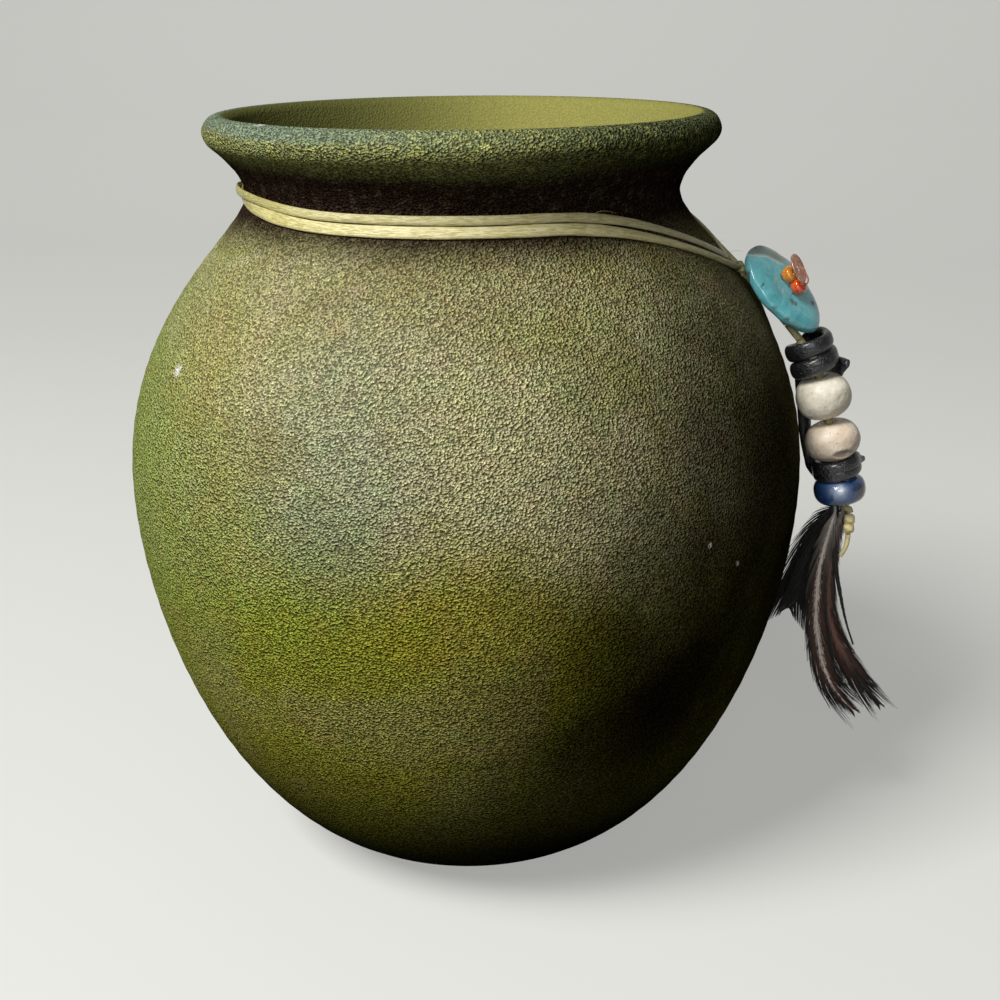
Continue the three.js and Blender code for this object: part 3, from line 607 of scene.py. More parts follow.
tie = {
    "lowerWidth": 2.35, "upperWidth": 1.85, "endWidth": 1.5, "thickness": 0.8, "endThickness": 1.2,
    "cordDiameter": 1.4, "loops": 2, "height": 145.3, "backRise": 2.4, "spacing": 2.25, "pullAngle": 62,
    "crossAngle": 170, "crossWidth": 34, "knotDiameter": 2.6, "knotDrop": 17.3, "seat": 0.3, "standOff": 0.16,
}


# A point off the jar's surface at this height, and the way it faces there
def shoulderAt(height, standOff):
    line = shoulderLine if height < jarShape["neckHeight"] else outerFlare
    i = next((k for k in range(1, len(line)) if line[k][1] >= height), len(line) - 1)
    (ra, za), (rb, zb) = line[i - 1], line[i]
    share = (height - za) / max(zb - za, 1e-6)
    size = math.hypot(rb - ra, zb - za)
    out = ((zb - za) / size, -(rb - ra) / size)
    if height >= jarShape["neckHeight"]:
        out = (1, 0)
    place = (lerp(ra, rb, share) + standOff * out[0], height + standOff * out[1])
    return place, out


knotRadius = tie["knotDiameter"] / 2
knotSpot = shoulderAt(jarShape["neckHeight"] - tie["knotDrop"], knotRadius + tie["seat"])[0]
knotPlace = Vector((knotSpot[0], 0, knotSpot[1]))


def tiePoint(turn, standOff):
    loop = math.floor(turn)
    share = turn - loop
    around = min(share, 1 - share) * 360
    rise = math.sin(math.pi / 2 * min(around / tie["pullAngle"], 1))
    close = knotRadius + tie["seat"] + tie["cordDiameter"] / 2
    spread = lerp(close, tie["spacing"], smooth(around / tie["pullAngle"]))
    middle = lerp(knotPlace.z + spread / 2, tie["height"], rise)
    middle += tie["backRise"] * smooth((around - 110) / 60)
    crossing = (share * 360 - tie["crossAngle"]) / tie["crossWidth"]
    swap = 2 * smooth((crossing + 1) / 2) - 1
    side = swap if loop % 2 == 0 else -swap
    hump = 0 if loop % 2 == 0 else (tie["thickness"] + 0.25) * (1 - smooth(abs(crossing) * 0.8))
    place, out = shoulderAt(middle + side * spread / 2, standOff + hump)
    angle = -turn * 2 * math.pi
    way = Vector((math.cos(angle), math.sin(angle), 0))
    return way * place[0] + Vector((0, 0, place[1])), way * out[0] + Vector((0, 0, out[1])), side


def makeTie():
    mesh = bmesh.new()
    clear = 9 / 360
    count = 260
    standOff = tie["thickness"] / 2 + tie["standOff"]
    route, faces, sides = [], [], []
    for i in range(count + 1):
        place, out, side = tiePoint(lerp(clear, tie["loops"] - clear, i / count), standOff)
        route.append(place)
        faces.append(out)
        sides.append(side)
    # both ends run on into the knot
    steps = [knotPlace + (route[end] - knotPlace).normalized() * (knotRadius * 0.8) for end in (0, -1)]
    route = [steps[0], *route, steps[1]]
    faces = [faces[0], *faces, faces[-1]]
    sides = [sides[0], *sides, sides[-1]]
    last = len(route) - 1

    # 0 at the knot, 1 where the sinew lies flat
    def flat(i):
        return smooth(min(i, last - i) / 16)

    def width(i):
        wide = lerp(tie["lowerWidth"], tie["upperWidth"], (sides[i] + 1) / 2)
        return lerp(tie["endWidth"], wide, flat(i)) * (1 + 0.12 * noise.noise(route[i] * 0.11))

    def thickness(i):
        return lerp(tie["endThickness"], tie["thickness"], flat(i))

    def out(i):
        twist = 0.25 * noise.noise(route[i] * 0.05 + Vector((5, 0, 0)))
        way = (route[min(i + 1, last)] - route[max(i - 1, 0)]).normalized()
        return Matrix.Rotation(twist, 3, way) @ faces[i]

    def ridge(angle, along):
        folds = math.cos(3 * angle + 1.7 * math.sin(along * 0.05))
        return 1 + 0.035 * folds * abs(math.sin(angle))

    sweep(mesh, route, 20, width, thickness, out, ridge)
    return finished(mesh, "neckTie", paleSinew, "tie", "neck_tie", "sinew")


# Loose fibres that stand off the sinew, in front and near the knot
looseHairs = [
    [(51.5, -14, 135.4), (53.5, -13.6, 138.0), (55.6, -12.0, 138.6)],
    [(54.0, -11, 133.8), (57.0, -11.4, 136.2), (59.4, -9.4, 136.0)],
    [(30.0, -38.6, 146.6), (32.6, -38.2, 147.6), (35.4, -36.4, 147.0)],
    [(57.4, -5, 131.8), (60.6, -5.6, 132.6), (63.0, -4.2, 131.0)],
]


# An overhand knot: a trefoil of cord, closed up tight
def makeShoulderKnot(centre, size, cord, axis):
    mesh = bmesh.new()
    route = []
    for i in range(97):
        t = 2 * math.pi * i / 96
        loop = (math.sin(t) + 2 * math.sin(2 * t), math.cos(t) - 2 * math.cos(2 * t), -1.2 * math.sin(3 * t))
        route.append(Vector(loop) * size / 6.2)
    turn = Vector((0, 0, 1)).rotation_difference(Vector(axis)).to_matrix()
    route = [centre + turn @ p for p in route]
    sweep(mesh, route, 10, lambda i: cord, lambda i: cord * 0.8, lambda i: (route[i] - centre).normalized())

    def hairWidth(i):
        return 0.09 * (1 - i / 14)

    for hair in looseHairs:
        sweep(mesh, smoothRoute(hair, 10), 4, hairWidth, hairWidth, lambda i: Vector((0.1, 0.2, 1)))
    return finished(mesh, "shoulderKnot", paleSinew, "tie", "shoulder_knot", "sinew")


makeTie()
makeShoulderKnot(knotPlace, 3.1, 1.15, (0.7, 0.1, 0.7))
print("neck tied")


# Turquoise slab and what is stitched on it

slab = {
    "length": 22.2, "width": 15.6, "thickness": 4.2, "slope": 47.9, "roll": 28, "forward": 9.1,
    "endShare": 0.78, "hole": 1.8, "holeUp": 2, "bevel": 3.2, "bevelSlope": 32, "bevelEase": 0.25,
    "planRound": 0.62, "faceRound": 0.75, "narrowing": 0.16, "uneven": 0.22,
    "stone": "#7ed3d9", "deep": "#61bac2", "light": "#a9e2df", "worn": "#65766b", "ridge": "#c4d8cc",
    "far": "#93aea6", "matrix": "#463d34",
    "hollow": {"forward": -7.5, "side": 0.5, "lean": 0.65, "end": -3, "depth": 0.5},
    "spots": [((2.6, -3.3, 2.1), 1.0), ((3.4, -2.7, 2.1), 0.7), ((0.6, -7.3, 0.5), 0.6),
              ((4.5, -7.0, 0.4), 0.9), ((-1.6, -6.9, 1.0), 0.4)],
}
slope = slab["slope"] * rad
along = Vector((math.cos(slope), 0, -math.sin(slope)))
behind = Vector((0, 1, 0))
overShoulder = Vector((math.sin(slope), 0, math.cos(slope)))
roll = Matrix.Rotation(slab["roll"] * rad, 3, along)
across, outward = roll @ behind, roll @ overShoulder
slabLift = slab["thickness"] * slab["endShare"] / 2 + tie["seat"] + knotRadius
slabCentre = knotPlace + overShoulder * (slabLift / math.cos(slab["roll"] * rad)) + along * slab["forward"]


def onSlab(forward, side, up):
    return slabCentre + along * forward + across * side + outward * up


def turquoise(values):
    material, tree, shader = newMaterial("turquoise", Coat_Weight=0.8, Coat_Roughness=0.1)
    place = objectPlace(tree)
    cloud = noiseAt(tree, place, 170, 5, 0.62, 0.8)
    fine = noiseAt(tree, place, 900, 4, 0.6, 0.3)
    color = mixColor(tree, mapTo(tree, cloud, 0.38, 0.62), tone(values["deep"]), tone(values["stone"]))
    color = mixColor(tree, mapTo(tree, fine, 0.52, 0.72, 0, 0.35), color, tone(values["light"]))
    # the rubbed hollow past a light diagonal ridge, and the greyer far side
    hollow = values["hollow"]
    ridgeAt = onSlab(hollow["forward"], hollow["side"], slab["thickness"] / 2) * mm
    off = vectorMath(tree, "SUBTRACT", place, tuple(ridgeAt))
    pastRidge = (across - along * hollow["lean"]).normalized()
    beyond, upper, farSide = [vectorMath(tree, "DOT_PRODUCT", off, tuple(way), "Value")
                              for way in (pastRidge, along, across)]
    beyond = calc(tree, "ADD", beyond, times(tree, calc(tree, "SUBTRACT", cloud, 0.5), 0.0012))
    pastEnd = hollow["end"] - hollow["forward"]
    upperEnd = mapTo(tree, upper, (pastEnd + 0.5) * mm, (pastEnd - 2) * mm)
    color = mixColor(tree, mapTo(tree, farSide, 0.0008, 0.0064, 0, 0.6), color, tone(values["far"]))
    worn = times(tree, mapTo(tree, beyond, 0.0001, 0.0007), upperEnd)
    color = mixColor(tree, times(tree, worn, 0.9), color, tone(values["worn"]))
    rim = times(tree, mapTo(tree, beyond, -0.0004, -0.0001), mapTo(tree, beyond, 0.0004, 0.0001))
    color = mixColor(tree, times(tree, rim, upperEnd, 0.7), color, tone(values["ridge"]))
    veins = addNode(tree, "TexVoronoi", {"Vector": stretched(tree, place, (1, 0.8, 1.2)), "Scale": 260},
                    feature="DISTANCE_TO_EDGE").outputs["Distance"]
    rare = mapTo(tree, noiseAt(tree, place, 240, 3, 0.6), 0.56, 0.66)
    vein = times(tree, mapTo(tree, veins, 0.07, 0.02), rare)
    for at, size in values["spots"]:
        spot = patchMask(tree, place, tuple(onSlab(*at) * mm), (size * mm,) * 3, 1.6, 1500)
        vein = calc(tree, "MAXIMUM", vein, spot)
    color = mixColor(tree, times(tree, vein, 0.85), color, tone(values["matrix"]))
    tree.links.new(color, shader.inputs["Base Color"])
    tree.links.new(mapTo(tree, vein, 0, 1, 0.26, 0.6, "LINEAR"), shader.inputs["Roughness"])
    dents = calc(tree, "SUBTRACT", noiseAt(tree, place, 420, 4, 0.55), times(tree, vein, 0.4))
    relief(tree, shader, dents, 0.00035, 0.7)
    return material


def makeSlab(values):
    mesh = bmesh.new()
    bmesh.ops.create_uvsphere(mesh, u_segments=80, v_segments=48, radius=1)
    edge = Vector((-values["length"] / 2 + values["bevel"], 0, values["thickness"] / 2 - 0.2))
    tilt = values["bevelSlope"] * rad
    cut = Vector((-math.sin(tilt), 0, math.cos(tilt)))
    hollow = values["hollow"]
    for vert in mesh.verts:
        x, y, z = vert.co
        plan = math.hypot(x, y)
        fuller = plan ** values["planRound"] / plan if plan > 1e-6 else 0
        forward = x * fuller
        side = y * fuller * (1 - values["narrowing"] * forward)
        up = math.copysign(abs(z) ** values["faceRound"], z)
        spot = Vector((forward * values["length"], side * values["width"], up * values["thickness"])) / 2
        spot += spot.normalized() * values["uneven"] * noise.noise(spot * 0.28)
        over = (spot - edge).dot(cut)
        ease = values["bevelEase"]
        if over > -ease:
            spot -= cut * smooth((over + ease) / (2 * ease)) * max(over, 0)
        beyond = spot.y - hollow["side"] - hollow["lean"] * (spot.x - hollow["forward"])
        beyond /= math.hypot(1, hollow["lean"])
        rubbed = smooth(beyond / 1.4) * smooth((hollow["end"] - spot.x) / 2.5) * smooth(spot.z / 1.2)
        spot.z -= hollow["depth"] * rubbed
        vert.co = onSlab(*spot)
    piece = finished(mesh, "turquoiseSlab", turquoise(values), "charm", "turquoise_slab", "turquoise")
    # drill the hole that the stitch goes through
    tool = bmesh.new()
    bore = values["hole"] / 2
    bmesh.ops.create_cone(tool, cap_ends=True, segments=32, radius1=bore, radius2=bore,
                          depth=values["thickness"] * 3)
    stand(tool, onSlab(-values["holeUp"], 0, 0), outward)
    bmesh.ops.scale(tool, vec=(mm, mm, mm), verts=tool.verts)
    drill = meshObject(tool, "drill")
    drilled = piece.modifiers.new("drilled", "BOOLEAN")
    drilled.operation = "DIFFERENCE"
    drilled.object = drill
    drilled.solver = "EXACT"
    result = bpy.data.meshes.new_from_object(piece.evaluated_get(bpy.context.evaluated_depsgraph_get()))
    piece.modifiers.clear()
    piece.data = result
    bpy.data.objects.remove(drill)


makeSlab(slab)
print("slab shaped")


# A bead with a bore: fullness near 1 gives a ball, less gives a squarer barrel
def beadMesh(diameter, height, bore, fullness, segments, rows):
    profile = []
    for i in range(rows + 1):
        angle = lerp(-90, 90, i / rows) * rad
        out = max(math.cos(angle), 0) ** fullness
        up = math.copysign(abs(math.sin(angle)) ** fullness, angle)
        profile.append((lerp(bore / 2, diameter / 2, out), up * height / 2))
    profile.append(profile[0])
    return turned(profile, segments)


seeds = {
    "diameter": 3, "height": 2.4, "bore": 1.2, "gap": 0.5, "fuller": 1.18, "taller": 1.05, "redShift": 0.35,
    "discDiameter": 6.4, "discThickness": 0.5, "discTilt": 15, "discRoll": -10, "stitch": 0.6,
    "stitchLook": 0.34, "amber": "#ffb03a", "amberDeep": "#f58416", "red": "#ff7624", "redDeep": "#e84410",
    "copper": "#eab195", "copperDeep": "#b8735a",
}
seedBase = slab["thickness"] / 2 + tie["seat"]
seedUp = seedBase + seeds["height"] / 2
amberAt = -slab["holeUp"]
redAt = amberAt + seeds["diameter"] + seeds["gap"]


def seedGlass(name, color, deep):
    material, tree, shader = newMaterial(name, Roughness=0.12, IOR=1.5, Transmission_Weight=0.3,
                                         Coat_Weight=1.0)
    place = objectPlace(tree)
    swirl = mapTo(tree, noiseAt(tree, place, 1100, 3, 0.6, 1.2), 0.35, 0.65)
    tree.links.new(mixColor(tree, swirl, tone(deep), tone(color)), shader.inputs["Base Color"])
    relief(tree, shader, noiseAt(tree, place, 1600, 2), 0.00008, 0.5)
    return material


def hammeredCopper(color, deep):
    material, tree, shader = newMaterial("hammeredCopper", Metallic=0.75)
    place = objectPlace(tree)
    marks = noiseAt(tree, place, 1400, 3, 0.6, 0.5)
    shade = mixColor(tree, mapTo(tree, marks, 0.35, 0.7), tone(deep), tone(color))
    tree.links.new(shade, shader.inputs["Base Color"])
    tree.links.new(mapTo(tree, marks, 0.3, 0.7, 0.42, 0.24), shader.inputs["Roughness"])
    relief(tree, shader, marks, 0.00012, 0.7)
    return material


def makeSeeds():
    for color, at, aside in (("amber", amberAt, 0), ("red", redAt, seeds["redShift"])):
        wide, tall = seeds["diameter"] * seeds["fuller"], seeds["height"] * seeds["taller"]
        mesh = beadMesh(wide, tall, seeds["bore"], 0.8, 36, 18)
        stand(mesh, onSlab(at - aside, -aside, seedUp), outward)
        glass = seedGlass(color + "Glass", seeds[color], seeds[color + "Deep"])
        finished(mesh, color + "Bead", glass, "charm", color + "_bead", color + "_glass")


discRoll = Matrix.Rotation(seeds["discRoll"] * rad, 3, along)
discTilt = discRoll @ Matrix.Rotation(seeds["discTilt"] * rad, 3, across)
discDip = seeds["discDiameter"] / 2 * math.sin(seeds["discTilt"] * rad)
discUp = seedUp + seeds["height"] / 2 + tie["seat"] + discDip + seeds["discThickness"] / 2


def makeDisc():
    radius, thick, bore = seeds["discDiameter"] / 2, seeds["discThickness"] / 2, seeds["bore"] / 2
    outer = ((0.86, -0.6), (0.95, -1), (1, -0.3), (1, 0.4), (0.95, 1), (0.86, 0.55), (0.6, 0.2))
    profile = [(bore, -thick * 0.6), *[(radius * out, thick * up) for out, up in outer],
               (bore + 0.3, thick * 0.1), (bore, 0), (bore, -thick * 0.6)]
    mesh = turned(profile, 48)
    for vert in mesh.verts:
        vert.co.z += 0.1 * noise.noise(vert.co * 0.7)
    stand(mesh, onSlab(amberAt, 0, discUp), discTilt @ outward)
    copper = hammeredCopper(seeds["copper"], seeds["copperDeep"])
    return finished(mesh, "copperDisc", copper, "charm", "copper_disc", "copper")


makeSeeds()
makeDisc()
print("seed beads and disc stitched on")


# Sinew strands

swayPivot = knotPlace + Vector((10.09, 0, -11.48))
liftPivot = knotPlace + Vector((12.89, 0, -14.88))
strand = {"diameter": 1.6, "tail": 1.2, "endKnot": 2.6, "jointGap": 0.15}


def stretchOf(start, end, startGap, endGap, steps):
    way = (end - start).normalized()
    a, b = start + way * startGap, end - way * endGap
    return [a.lerp(b, i / steps) for i in range(steps + 1)]


def roundCord(name, route, diameter, material, body, node, taper=0.0):
    mesh = bmesh.new()
    last = len(route) - 1

    def width(i):
        return diameter * (1 - taper * smooth(i / last)) * (1 + 0.05 * noise.noise(route[i] * 0.8))

    def ridge(angle, along):
        return 1 + 0.04 * math.cos(3 * angle + along * 1.1)

    sweep(mesh, route, 14, width, width, lambda i: Vector((0.2, -1, 0.3)), ridge)
    return finished(mesh, name, material, body, node, "sinew")


firstStretch = stretchOf(knotPlace, swayPivot, knotRadius + tie["seat"], strand["jointGap"], 16)
roundCord("strandUnderSlab", firstStretch, strand["diameter"], paleSinew, "charm", "strand_under_slab")
linkRoute = stretchOf(swayPivot, liftPivot, strand["jointGap"], strand["jointGap"], 8)
roundCord("strandLink", linkRoute, strand["diameter"], paleSinew, "link", "strand_link")


def makeStitch():
    way = (firstStretch[-1] - firstStretch[0]).normalized()
    fall = onSlab(amberAt, 0, 0) - firstStretch[0]
    low = strand["diameter"] / 2 + tie["seat"] - (fall - way * fall.dot(way)).length
    clear = tie["seat"] + seeds["stitch"] / 2
    hub = onSlab(amberAt, 0, discUp)
    top = seeds["discThickness"] / 2 + clear

    def offDisc(share, up):
        return hub + discTilt @ (along * (share * seeds["discDiameter"] / 2) + outward * up)

    points = [
        onSlab(amberAt, 0, low), onSlab(amberAt, 0, low + seeds["stitch"]), onSlab(amberAt, 0, seedUp), hub,
        offDisc(0.12, top + 0.1), offDisc(0.5, top + 0.1), offDisc(0.95, top), offDisc(1, 0) + along * clear,
        *[onSlab(redAt, 0, up) for up in (seedUp + seeds["height"] / 2, seedUp, seedBase + 0.05)],
    ]
    route = smoothRoute(points, 60)
    return roundCord("charmStitch", route, seeds["stitchLook"], tanSinew, "charm", "charm_stitch")


makeStitch()


# Tassel's line and what is threaded on it, by distance along the line

tassel = {
    "top": (14.19, 0, -13.98), "leanTop": 21, "leanEnd": 7.5, "reach": 42, "upperWidth": 2.6,
    "lowerWidth": 1.9, "thickness": 1.9, "radius": 4.3, "upperPitch": 3.5, "upperTurns": 1.98,
    "lowerPitch": 2.45, "lowerTurns": 1.55, "tilt": 0.35, "whiteDiameter": 11.9, "whiteUpper": 9.5,
    "whiteLower": 8.7, "whiteBore": 3.4, "whiteEase": 0.35, "whiteRise": 0.4, "blueDiameter": 11.3,
    "blueHeight": 5.8, "blueBore": 5.2, "blueRise": 1.35, "clearance": 0.6, "blueClearance": 0.1,
    "tuck": 0.3, "quill": 0.8, "quillTuck": 3.5,
}
# How the lace's leather fills its turns, and how they climb and close up
laceLook = {
    "upper": 3.6, "lower": 2.8, "thickness": 2.35, "lowerPitch": 1.45, "sink": 0.6, "backClimb": 0.6,
    "topNarrow": 0.26, "topThin": 0.15, "topEnd": 2.6, "topRun": 1.3,
}
leanRate = (tassel["leanEnd"] - tassel["leanTop"]) * rad / tassel["reach"]


def leanAt(station):
    return tassel["leanTop"] * rad + leanRate * station


def downAt(station):
    return Vector((math.sin(leanAt(station)), 0, -math.cos(leanAt(station))))


# A place beside the line: azimuth 0 is away from the jar, 90 behind, 180 next to the jar
def onTassel(station, radius=0.0, azimuth=0.0):
    a, b = leanAt(0), leanAt(station)
    place = Vector((math.cos(a) - math.cos(b), 0, math.sin(a) - math.sin(b))) / leanRate
    place += knotPlace + Vector(tassel["top"])
    aside = Vector((math.cos(b), 0, math.sin(b)))
    return place + aside * (radius * math.cos(azimuth * rad)) + behind * (radius * math.sin(azimuth * rad))


def stationOf(place):
    station = 0
    for _ in range(6):
        station += (place - onTassel(station)).dot(downAt(station))
    return station


upperWrap = tassel["upperTurns"] * tassel["upperPitch"] + tassel["upperWidth"]
lowerWrap = tassel["lowerTurns"] * tassel["lowerPitch"] + tassel["lowerWidth"]
whiteUpperAt = upperWrap + tassel["tilt"] - tassel["tuck"] + tassel["whiteUpper"] / 2
whiteLowerAt = whiteUpperAt + tassel["whiteUpper"] / 2 + tassel["clearance"] + tassel["whiteLower"] / 2
lowerWrapTop = whiteLowerAt + tassel["whiteLower"] / 2 - tassel["tuck"]
lowerWrapEnd = lowerWrapTop + lowerWrap
blueAt = lowerWrapEnd + tassel["blueClearance"] + tassel["blueHeight"] / 2
stackEnd = blueAt + tassel["blueHeight"] / 2


# The lace's own route: its cut end, the upper turns, a loop over the back, the run behind the beads, the
# lower turns and its other cut end
def laceRoute():
    run = tassel["whiteDiameter"] / 2 + 0.45 + tassel["thickness"] / 2
    wide, narrow, ring = tassel["upperWidth"], tassel["lowerWidth"], tassel["radius"]
    start = 25
    bottom = upperWrap - wide / 2
    sink = laceLook["sink"]
    stops = [(bottom - 0.7 + sink, ring + 2.5, start - 36), (bottom - 0.4 + sink, ring + 1.4, start - 26),
             (bottom - 0.1 + sink, ring + 0.5, start - 13)]
    steps = round(tassel["upperTurns"] * 12)
    for i in range(steps + 1):
        turn = tassel["upperTurns"] * i / steps
        azimuth = start + turn * 360
        tilt = tassel["tilt"] * (1 - turn) * math.cos(azimuth * rad)
        # each turn climbs behind and lies nearly level in front
        climb = turn + laceLook["backClimb"] * (1 - math.cos(azimuth * rad)) / (2 * math.pi)
        settle = sink * (1 - smooth(turn - 1))
        stops.append((bottom + settle - climb * tassel["upperPitch"] - tilt, ring, azimuth))
    end = start + tassel["upperTurns"] * 360
    stops += [(wide / 2 + 0.1, ring + 0.2, end + 16), (wide / 2, ring + 0.6, end + 32),
              (wide / 2 + 0.2, ring + 1.4, end + 48), (wide / 2 + 1.1, run - 0.35, end + 64)]
    runTo = end - end % 360 + 137
    low = lowerWrapEnd - narrow / 2 - tassel["blueRise"] - 0.2
    stops += [(wide / 2 + 2.8, run, runTo - 35), (upperWrap, run, runTo - 22),
              (whiteUpperAt, run, runTo - 14), (whiteLowerAt - 1, run, runTo), (lowerWrapTop, run, runTo),
              (low - 2.4, run - 0.2, runTo + 1), (low - 0.8, run - 0.8, runTo + 7),
              (low - 0.1, ring + 0.9, runTo + 18)]
    steps = round(tassel["lowerTurns"] * 12)
    for i in range(steps + 1):
        turn = tassel["lowerTurns"] * i / steps
        stops.append((low - turn * laceLook["lowerPitch"], ring, runTo + 34 + turn * 360))
    end = runTo + 34 + tassel["lowerTurns"] * 360
    top = lowerWrapTop + narrow / 2
    stops += [(top + 0.7, ring + 0.7, end + 10), (top + 1.1, ring + 1.6, end + 15),
              (top + 1.3, ring + 2.6, end + 19)]
    return [onTassel(*stop) for stop in stops]


def laceLeather():
    material, tree, shader = newMaterial("blackLeather", Roughness=0.44, Coat_Weight=0.5, Coat_Roughness=0.22)
    place = objectPlace(tree)
    grain = pebbles(tree, place, 1900, 1.2)
    crease = useGroup(tree, fibres, {"Lie": lieOf(tree), "Count": 3.2, "Run": 0.8})["Height"]
    scuffs = mapTo(tree, noiseAt(tree, place, 700, 4, 0.65), 0.52, 0.7)
    color = mixColor(tree, times(tree, scuffs, grain["Crest"]), tone("#121315"), tone("#414347"))
    tree.links.new(color, shader.inputs["Base Color"])
    creased = addNode(tree, "Bump", {"Height": crease, "Distance": 0.00035, "Strength": 0.8}).outputs[0]
    relief(tree, shader, grain["Height"], 0.0002, 0.8, creased)
    return material


def makeLace():
    mesh = bmesh.new()
    route = smoothRoute(laceRoute(), 420, 12)
    stations = [stationOf(p) for p in route]
    last = len(route) - 1

    # the cut ends taper, and the upper one spreads before it does
    def taper(i):
        return lerp(0.4, 1, min(min(i, last - i) / 9, 1))

    # the lace is slimmer under the slab, which comes close when the tassel is lifted
    def underSlab(i):
        return smooth((laceLook["topEnd"] - stations[i]) / laceLook["topRun"])

    def width(i):
        share = smooth((stations[i] - upperWrap) / (tassel["whiteUpper"] + tassel["whiteLower"]))
        base = lerp(laceLook["upper"], laceLook["lower"], share) * (1 + 0.22 * smooth(1 - (i - 14) / 22))
        base *= 1 - laceLook["topNarrow"] * underSlab(i)
        return base * taper(i) * (1 + 0.05 * noise.noise(route[i] * 0.35))

    def thickness(i):
        base = laceLook["thickness"] * (1 - laceLook["topThin"] * underSlab(i))
        return base * taper(i) * (1 + 0.08 * noise.noise(route[i] * 0.4 + Vector((3, 0, 0))))

    def out(i):
        radial = (route[i] - onTassel(stations[i])).normalized()
        return radial.lerp(Vector((0.5, -1, 0.2)), 0.5 * (1 - smooth(min(i, last - i) / 26)))

    # a soft crease runs down the outer face
    def ridge(angle, along):
        groove = max(math.sin(angle), 0) ** 8
        return 1 - (0.10 + 0.05 * math.sin(along * 0.7)) * groove + 0.05 * abs(math.cos(angle)) ** 3

    sweep(mesh, route, 24, width, thickness, out, ridge)
    return finished(mesh, "blackLace", laceLeather(), "tassel", "black_lace", "black_leather")


makeLace()
print("lace wound")


def beadGlaze(name, pale, shade, stain, chip=None):
    material, tree, shader = newMaterial(name, Coat_Weight=0.18, Coat_Roughness=0.28)
    place = objectPlace(tree)
    mottle = noiseAt(tree, place, 330, 5, 0.65, 0.4)
    pits = addNode(tree, "TexVoronoi", {"Vector": place, "Scale": 1300}).outputs["Distance"]
    pit = times(tree, mapTo(tree, pits, 0.22, 0.05), mapTo(tree, noiseAt(tree, place, 500, 2), 0.5, 0.62))
    color = mixColor(tree, mapTo(tree, mottle, 0.36, 0.66), tone(shade), tone(pale))
    color = mixColor(tree, times(tree, pit, 0.55), color, tone(stain))
    height = calc(tree, "SUBTRACT", noiseAt(tree, place, 420, 4, 0.55), times(tree, pit, 0.5))
    if chip:
        scar = patchMask(tree, place, chip["at"], chip["size"], 1.1, 900)
        color = mixColor(tree, scar, color, tone(chip["color"]))
        height = calc(tree, "SUBTRACT", height, scar)
    tree.links.new(color, shader.inputs["Base Color"])
    tree.links.new(mapTo(tree, mottle, 0.3, 0.7, 0.58, 0.4), shader.inputs["Roughness"])
    relief(tree, shader, height, 0.00045, 0.85)
    return material


# A pale cloud that is partly painted highlight, a painted glint, a grey side and a darker side of the blue
# bead: place and spread in millimetres, and the colour
bluePatches = [((-0.6, -5.2, 1.2), (2.9, 3.0, 2.2), "#9fb0c6"),
               ((-0.2, -4.8, 1.3), (1.3, 2.4, 1.1), "#e2e8ee"),
               ((4.6, -2.8, 0.2), (3.0, 3.8, 4.2), "#484a4a"), ((-4.6, -2.6, 0), (2.4, 4, 3.4), "#28446c")]


def blueGlaze():
    material, tree, shader = newMaterial("blueGlaze", Roughness=0.14, Coat_Weight=0.5, Coat_Roughness=0.06)
    place = objectPlace(tree)
    centre = onTassel(blueAt - tassel["blueRise"]) * mm
    swirl = noiseAt(tree, place, 300, 5, 0.6, 1.4)
    color = mixColor(tree, mapTo(tree, swirl, 0.35, 0.65), tone("#1d3660"), tone("#3a5c8e"))
    for at, size, shade in bluePatches:
        spot = patchMask(tree, place, tuple(centre + Vector(at) * mm), tuple(s * mm for s in size), 1.0, 420)
        color = mixColor(tree, spot, color, tone(shade))
    tree.links.new(color, shader.inputs["Base Color"])
    relief(tree, shader, noiseAt(tree, place, 380, 3), 0.0002, 0.5)
    return material


# A large bead is a body of its own, which has its node's name
def makeBead(name, node, diameter, height, bore, fullness, station, material, slotName, lumps, dent=None):
    mesh = beadMesh(diameter, height, bore, fullness, 72, 40)
    for vert in mesh.verts:
        reach = math.hypot(vert.co.x, vert.co.y)
        if reach > bore / 2 + 0.4:
            lump = noise.noise(vert.co * 0.22 + Vector((station, 0, 0))) + 0.35 * noise.noise(vert.co * 0.6)
            vert.co += vert.co.normalized() * lumps * lump
    stand(mesh, onTassel(station), downAt(station))
    if dent:
        for vert in mesh.verts:
            off = sum((near / size) ** 2 for near, size in zip(vert.co - dent["at"], dent["size"]))
            rough = 1 + 0.35 * noise.noise(vert.co * 1.3)
            vert.co.y += dent["depth"] * smooth((1 - off) * 1.4) * rough
    return finished(mesh, name, material, node, node, slotName)


chipPlace = onTassel(whiteLowerAt) + Vector((2.3, -5.2, -1.8))
chipScar = {"at": tuple(chipPlace * mm), "size": (0.0026, 0.002, 0.0011), "color": "#c9b2a2"}
chipDent = {"at": chipPlace, "size": (2.2, 2.6, 1.0), "depth": 0.8}
creamGlaze = beadGlaze("creamGlaze", "#f4edda", "#e0d7c0", "#9c8e76")
pinkGlaze = beadGlaze("pinkGlaze", "#efe1cc", "#dfcbb2", "#93795f", chipScar)
makeBead("whiteBeadUpper", "white_bead_upper", tassel["whiteDiameter"],
         tassel["whiteUpper"] - tassel["whiteEase"], tassel["whiteBore"], 0.9,
         whiteUpperAt - tassel["whiteRise"], creamGlaze, "cream_ceramic", 0.2)
makeBead("whiteBeadLower", "white_bead_lower", tassel["whiteDiameter"],
         tassel["whiteLower"] - tassel["whiteEase"], tassel["whiteBore"], 0.92, whiteLowerAt, pinkGlaze,
         "pink_ceramic", 0.2, chipDent)
